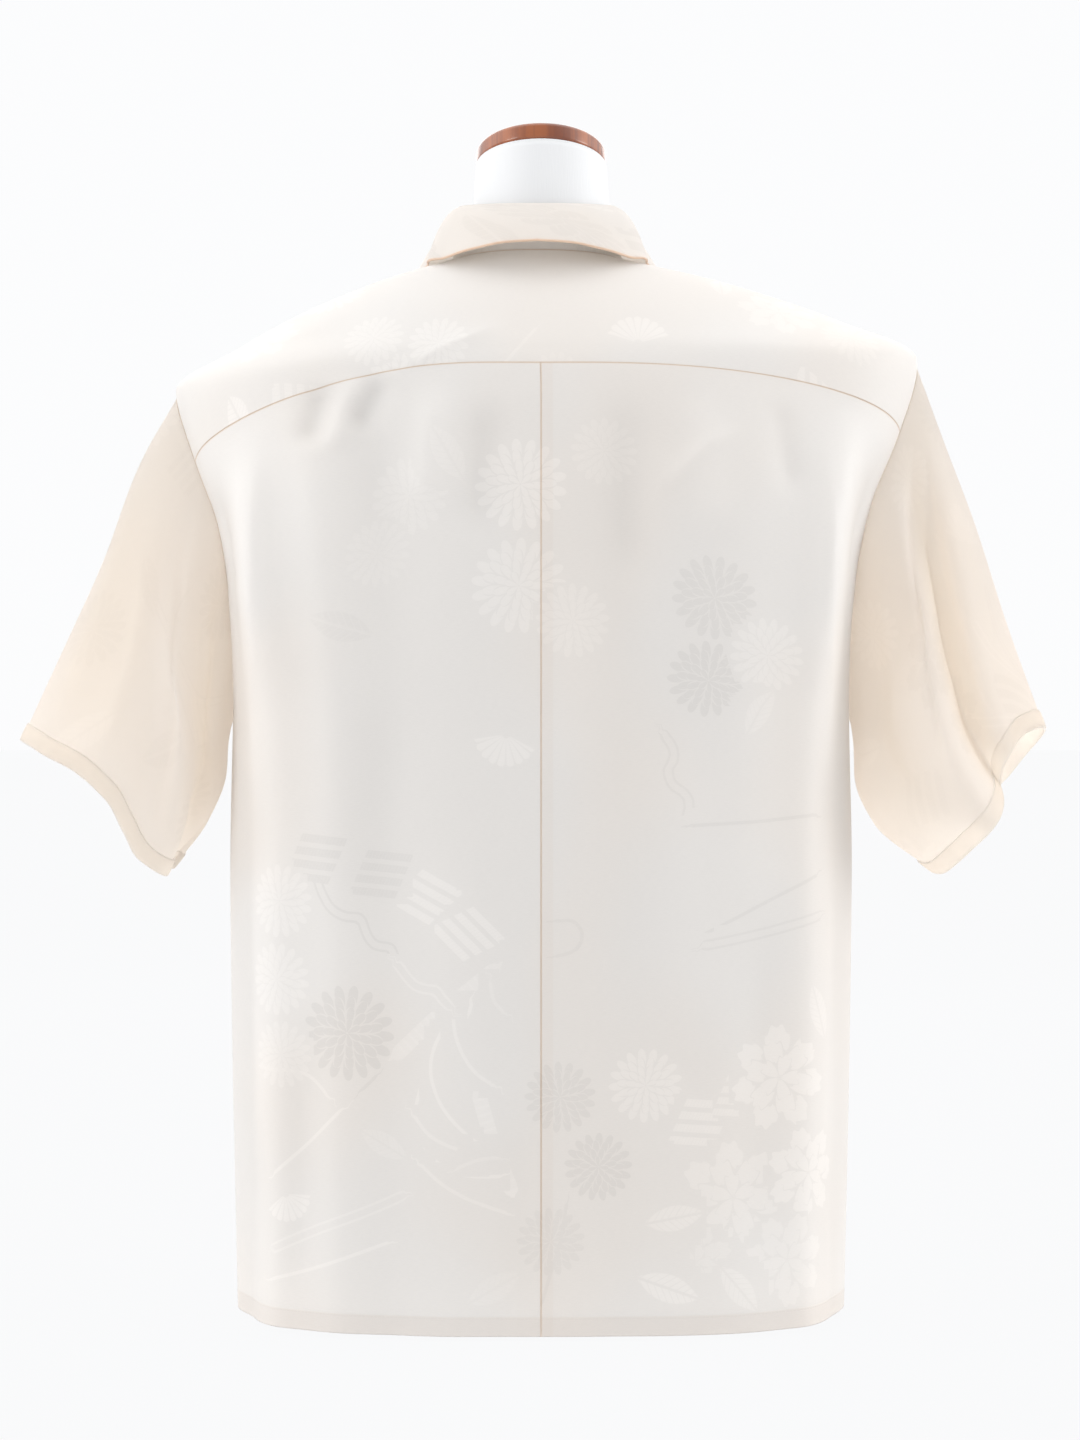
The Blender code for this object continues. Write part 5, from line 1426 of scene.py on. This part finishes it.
def button(number, finish, sewing):
    ring = np.array(front_ring(BUTTON_TOP - BUTTON_SPACING * number))
    degrees = np.array(180.0)
    seat = body_point(1, degrees, ring, lap_lift(1, 180.0) + LAYER_GAP)
    normal = Vector(normal_of(smooth_body, degrees, ring))
    half = BUTTON_THICKNESS / 2
    profile = [(out * BUTTON_RADIUS, up * half) for out, up in BUTTON_PROFILE]
    obj = turned("pearl_button_%d" % (number + 1), profile, 48, finish)
    facing = normal.to_track_quat("Z", "X")
    obj.rotation_mode = "QUATERNION"
    obj.rotation_quaternion = facing
    obj.location = Vector(seat) + normal * half
    drill_holes(obj, number)
    settle_in(obj, "button_%d" % (number + 1))
    turn = facing.to_matrix()
    paths = []
    for start, end in (HOLES[0::2], HOLES[1::2]):
        for nudge in (-SEWING_NUDGE, SEWING_NUDGE):
            path = []
            for share in np.linspace(0, 1, 9):
                x = blend(start[0], end[0], share) * HOLE_SPREAD + nudge
                y = blend(start[1], end[1], share) * HOLE_SPREAD - nudge
                rise = half * 0.5 + 0.00035 * math.sin(math.pi * share) - 0.0009 * abs(2 * share - 1) ** 6
                path.append(obj.location + turn @ Vector((x, y, rise)))
            paths.append(path)
    settle_in(tube("button_thread_%d" % (number + 1), paths, SEWING_THICKNESS, sewing), None)


def drill_holes(obj, number):
    pegs = bmesh.new()
    for x, y in HOLES:
        made = bmesh.ops.create_cone(pegs, cap_ends=True, segments=16, radius1=HOLE_RADIUS, radius2=HOLE_RADIUS,
                                     depth=3 * BUTTON_THICKNESS)
        bmesh.ops.translate(pegs, verts=made["verts"], vec=(x * HOLE_SPREAD, y * HOLE_SPREAD, 0))
    mesh = bpy.data.meshes.new("pegs")
    pegs.to_mesh(mesh)
    pegs.free()
    cutter = bpy.data.objects.new("pegs_%d" % (number + 1), mesh)
    bpy.context.scene.collection.objects.link(cutter)
    cutter.hide_render = True
    cutter.rotation_mode = "QUATERNION"
    cutter.rotation_quaternion = obj.rotation_quaternion
    cutter.location = obj.location
    holes = obj.modifiers.new("holes", "BOOLEAN")
    holes.operation = "DIFFERENCE"
    holes.object = cutter


def buttonhole(number, finish):
    """A close row of stitches round the slit that a button passes, across the lapped edge."""
    ring = front_ring(BUTTON_TOP - BUTTON_SPACING * number)
    paths = []
    for k in range(BUTTONHOLE_STITCHES):
        x = blend(-BUTTONHOLE_START, BUTTONHOLE_LENGTH - BUTTONHOLE_START, k / (BUTTONHOLE_STITCHES - 1))
        for way in (1, -1):
            ends = []
            for reach in (0.15, 1.0):
                degrees = front_degrees(np.array(-x), np.array(ring))
                spot = body_point(1, degrees, np.array(ring), lap_lift(1, degrees) + 0.00012)
                ends.append(Vector(spot) + Vector((0, 0, way * BUTTONHOLE_HALF * reach)))
            paths.append(ends)
    settle_in(tube("buttonhole_%d" % (number + 1), paths, STITCH_THICKNESS, finish), None)


# ---------------------------------------------------------------- the dress form
def form(finish):
    degrees = np.linspace(0, 180, steps(65))
    mirrored = np.array([-1, 1, 1])

    def section(row):
        return section_point(degrees, lambda name: np.float64(row[RING_COLUMNS.index(name)]))

    pairs = [(points, points * mirrored) for points in map(section, FORM_NECK)]
    for points in pairs[0]:
        points[:, 2] = NECK_TOP + points[:, 1] * math.tan(NECK_SLANT)
    under = -WALL - SEAT_GAP - FRONT_AIR * ease(94, 116, degrees)
    for ring in FORM_SEAT_RINGS:
        pairs.append([body_point(side, degrees, ring, under) for side in (1, -1)])
    pairs += [(settle(points), settle(points * mirrored)) for points in map(section, FORM_BODY)]
    rings = np.array([np.concatenate([left, right[-2:0:-1]]) for left, right in pairs])
    count = len(rings)
    fine = np.empty((steps(120),) + rings.shape[1:])
    at = np.linspace(0, count - 1, len(fine))
    for c in range(rings.shape[1]):
        for k in range(3):
            fine[:, c, k] = smooth_through(range(count), rings[:, c, k], at)
    solid = bmesh.new()
    corners = [[solid.verts.new(p) for p in ring] for ring in fine]
    for upper, lower in zip(corners, corners[1:]):
        for c in range(len(upper)):
            after = (c + 1) % len(upper)
            solid.faces.new((upper[c], upper[after], lower[after], lower[c]))
    solid.faces.new(list(reversed(corners[0])))
    solid.faces.new(corners[-1])
    bmesh.ops.recalc_face_normals(solid, faces=solid.faces)
    mesh = bpy.data.meshes.new("form_body")
    solid.to_mesh(mesh)
    solid.free()
    mesh.shade_smooth()
    return settle_in(put("form_body", mesh, finish), "form_torso")


def cap(finish):
    height, edge, foot = CAP_THICKNESS, CAP_EDGE, CAP_FOOT_EDGE
    profile = [(0.0, height + 0.0015), (CAP_HALF_WIDTH * 0.3, height + 0.0014), (CAP_HALF_WIDTH * 0.6, height + 0.0009)]
    for angle in np.radians(np.linspace(90, 0, 10)):
        profile.append((CAP_HALF_WIDTH - edge + edge * math.cos(angle), height - edge + edge * math.sin(angle)))
    for angle in np.radians(np.linspace(0, -90, 8)):
        profile.append((CAP_HALF_WIDTH - foot + foot * math.cos(angle), foot * (1 + math.sin(angle))))
    profile.append((0.0, 0.0))
    obj = turned("wooden_cap", profile, 96, finish)
    middle = (FORM_NECK[0][1] - FORM_NECK[0][5]) / 2
    obj.scale = (1, CAP_HALF_DEPTH / CAP_HALF_WIDTH, 1)
    obj.rotation_euler = (NECK_SLANT, 0, 0)
    obj.location = (0, middle, NECK_TOP + middle * math.tan(NECK_SLANT) + LAYER_GAP)
    return settle_in(obj, "form_neck_cap")


# ---------------------------------------------------------------- the studio
WHITE = (0.972, 0.976, 0.984)
SKY, SKY_SIDES, SKY_REAR = 0.73, 1.05, 0.90    # the sky's light behind the camera, what it gains at the sides, and
                                               # what it loses again behind the shirt
FLOOR_HALF = 40.0
FLOOR_GLOW = 0.965
LAMP_TARGET = (0, 0, 0.4)
# Each lamp's name, place, width, height and power.
LAMPS = (
    ("behind", (0.0, -2.4, 1.5), 3.2, 2.0, 20.0),
    ("left", (2.1, 1.3, 1.1), 0.9, 1.4, 14.0),
    ("right", (-2.4, 0.3, 0.9), 0.9, 1.4, 14.0),
)
CAMERA_PLACE = (0.0007, 2.2, 0.392)
CAMERA_LENS = 108.96
SENSOR_WIDTH = 36.0


def area_light(name, place, width, height, power):
    lamp = bpy.data.lights.new(name, "AREA")
    lamp.shape = "RECTANGLE"
    lamp.size, lamp.size_y = width, height
    lamp.energy = power
    obj = bpy.data.objects.new(name, lamp)
    obj.location = place
    obj.rotation_euler = (Vector(LAMP_TARGET) - Vector(place)).to_track_quat("-Z", "Y").to_euler()
    obj.visible_camera = False
    bpy.context.scene.collection.objects.link(obj)


def studio():
    world = bpy.data.worlds.new("studio")
    bpy.context.scene.world = world
    world.use_nodes = True
    g = Graph(world.node_tree)
    seen = world.node_tree.nodes["Background"]
    seen.inputs["Color"].default_value = (*WHITE, 1)
    seen.inputs["Strength"].default_value = 1.0
    lighting = g.node("ShaderNodeBackground")
    lighting.inputs["Color"].default_value = (1.0, 1.0, 1.0, 1)
    towards = g.split(g.node("ShaderNodeTexCoord").outputs["Generated"])
    sides = g.step(towards[1], 0.80, 0.00)
    rear = g.step(towards[1], -0.20, -0.80)
    strength = g.sub(g.add(SKY, g.mul(sides, SKY_SIDES)), g.mul(rear, SKY_REAR))
    g.link(strength, lighting.inputs["Strength"])
    chosen = g.node("ShaderNodeMixShader")
    g.link(g.node("ShaderNodeLightPath").outputs["Is Camera Ray"], chosen.inputs[0])
    g.link(lighting.outputs[0], chosen.inputs[1])
    g.link(seen.outputs[0], chosen.inputs[2])
    g.link(chosen.outputs[0], world.node_tree.nodes["World Output"].inputs["Surface"])

    mesh = bpy.data.meshes.new("floor")
    corners = [(x * FLOOR_HALF, y * FLOOR_HALF, 0) for x, y in ((-1, -1), (1, -1), (1, 1), (-1, 1))]
    mesh.from_pydata(corners, [], [(0, 1, 2, 3)])
    mat = bpy.data.materials.new("white_floor")
    mat.use_nodes = True
    shader = mat.node_tree.nodes["Principled BSDF"]
    shader.inputs["Base Color"].default_value = (0.010, 0.010, 0.010, 1)
    shader.inputs["Roughness"].default_value = 1.0
    shader.inputs["Specular IOR Level"].default_value = 0.0
    shader.inputs["Emission Color"].default_value = (*WHITE, 1)
    shader.inputs["Emission Strength"].default_value = FLOOR_GLOW
    floor = put("floor", mesh, mat)
    for lamp in LAMPS:
        area_light(*lamp)
    bpy.context.scene.view_settings.view_transform = "Standard"


def camera():
    lens = bpy.data.cameras.new("camera")
    lens.sensor_fit = "HORIZONTAL"
    lens.sensor_width = SENSOR_WIDTH
    lens.lens = CAMERA_LENS
    obj = bpy.data.objects.new("camera", lens)
    obj.location = CAMERA_PLACE
    obj.rotation_euler = (math.radians(90), 0, math.radians(180))
    bpy.context.scene.collection.objects.link(obj)
    bpy.context.scene.camera = obj


# ---------------------------------------------------------------- all of it
def main():
    body_silk, plain_silk = silk("silk_body", HEM_DEPTH), silk("silk_plain")
    sleeve_silk = silk("silk_sleeve", CUFF_DEPTH, band_tint=0.04, clear=0.70, through_tint=(0.99, 0.955, 0.915))
    cuff_silk = silk("silk_cuff", clear=0.96, through_tint=(0.995, 0.985, 0.970))
    # The collar's orange edge line: partly its turned edge, partly the painted warm shade of its underside.
    collar_silk = silk("silk_collar", clear=0.45, edge_width=0.0017, edge_line_and_shadow_tint=(0.820, 0.480, 0.270))
    right_silk = silk("silk_back_right", HEM_DEPTH, ALLOWANCE)
    form(form_cover())
    cap(varnished_wood())
    yoke(plain_silk)
    for name, side in (("left", 1), ("right", -1)):
        back_panel(name, side, body_silk if side > 0 else right_silk)
        front_panel(name, side, body_silk)
        lapel(name, side, plain_silk)
        sleeve(name, side, sleeve_silk)
        for part in ("back", "front"):
            turned_hem("hem_%s_%s" % (part, name), GRIDS["shirt_%s_%s" % (part, name)], HEM_DEPTH, plain_silk,
                       side, flipped=side < 0)
        turned_hem("hem_sleeve_" + name, GRIDS["shirt_sleeve_" + name], CUFF_DEPTH, cuff_silk, -side, wraps=True,
                   flipped=side < 0)
    collar(collar_silk)
    buttons, sewing = pearl(), thread()
    for number in range(BUTTON_COUNT):
        button(number, buttons, sewing)
        buttonhole(number, sewing)
    studio()
    camera()


main()
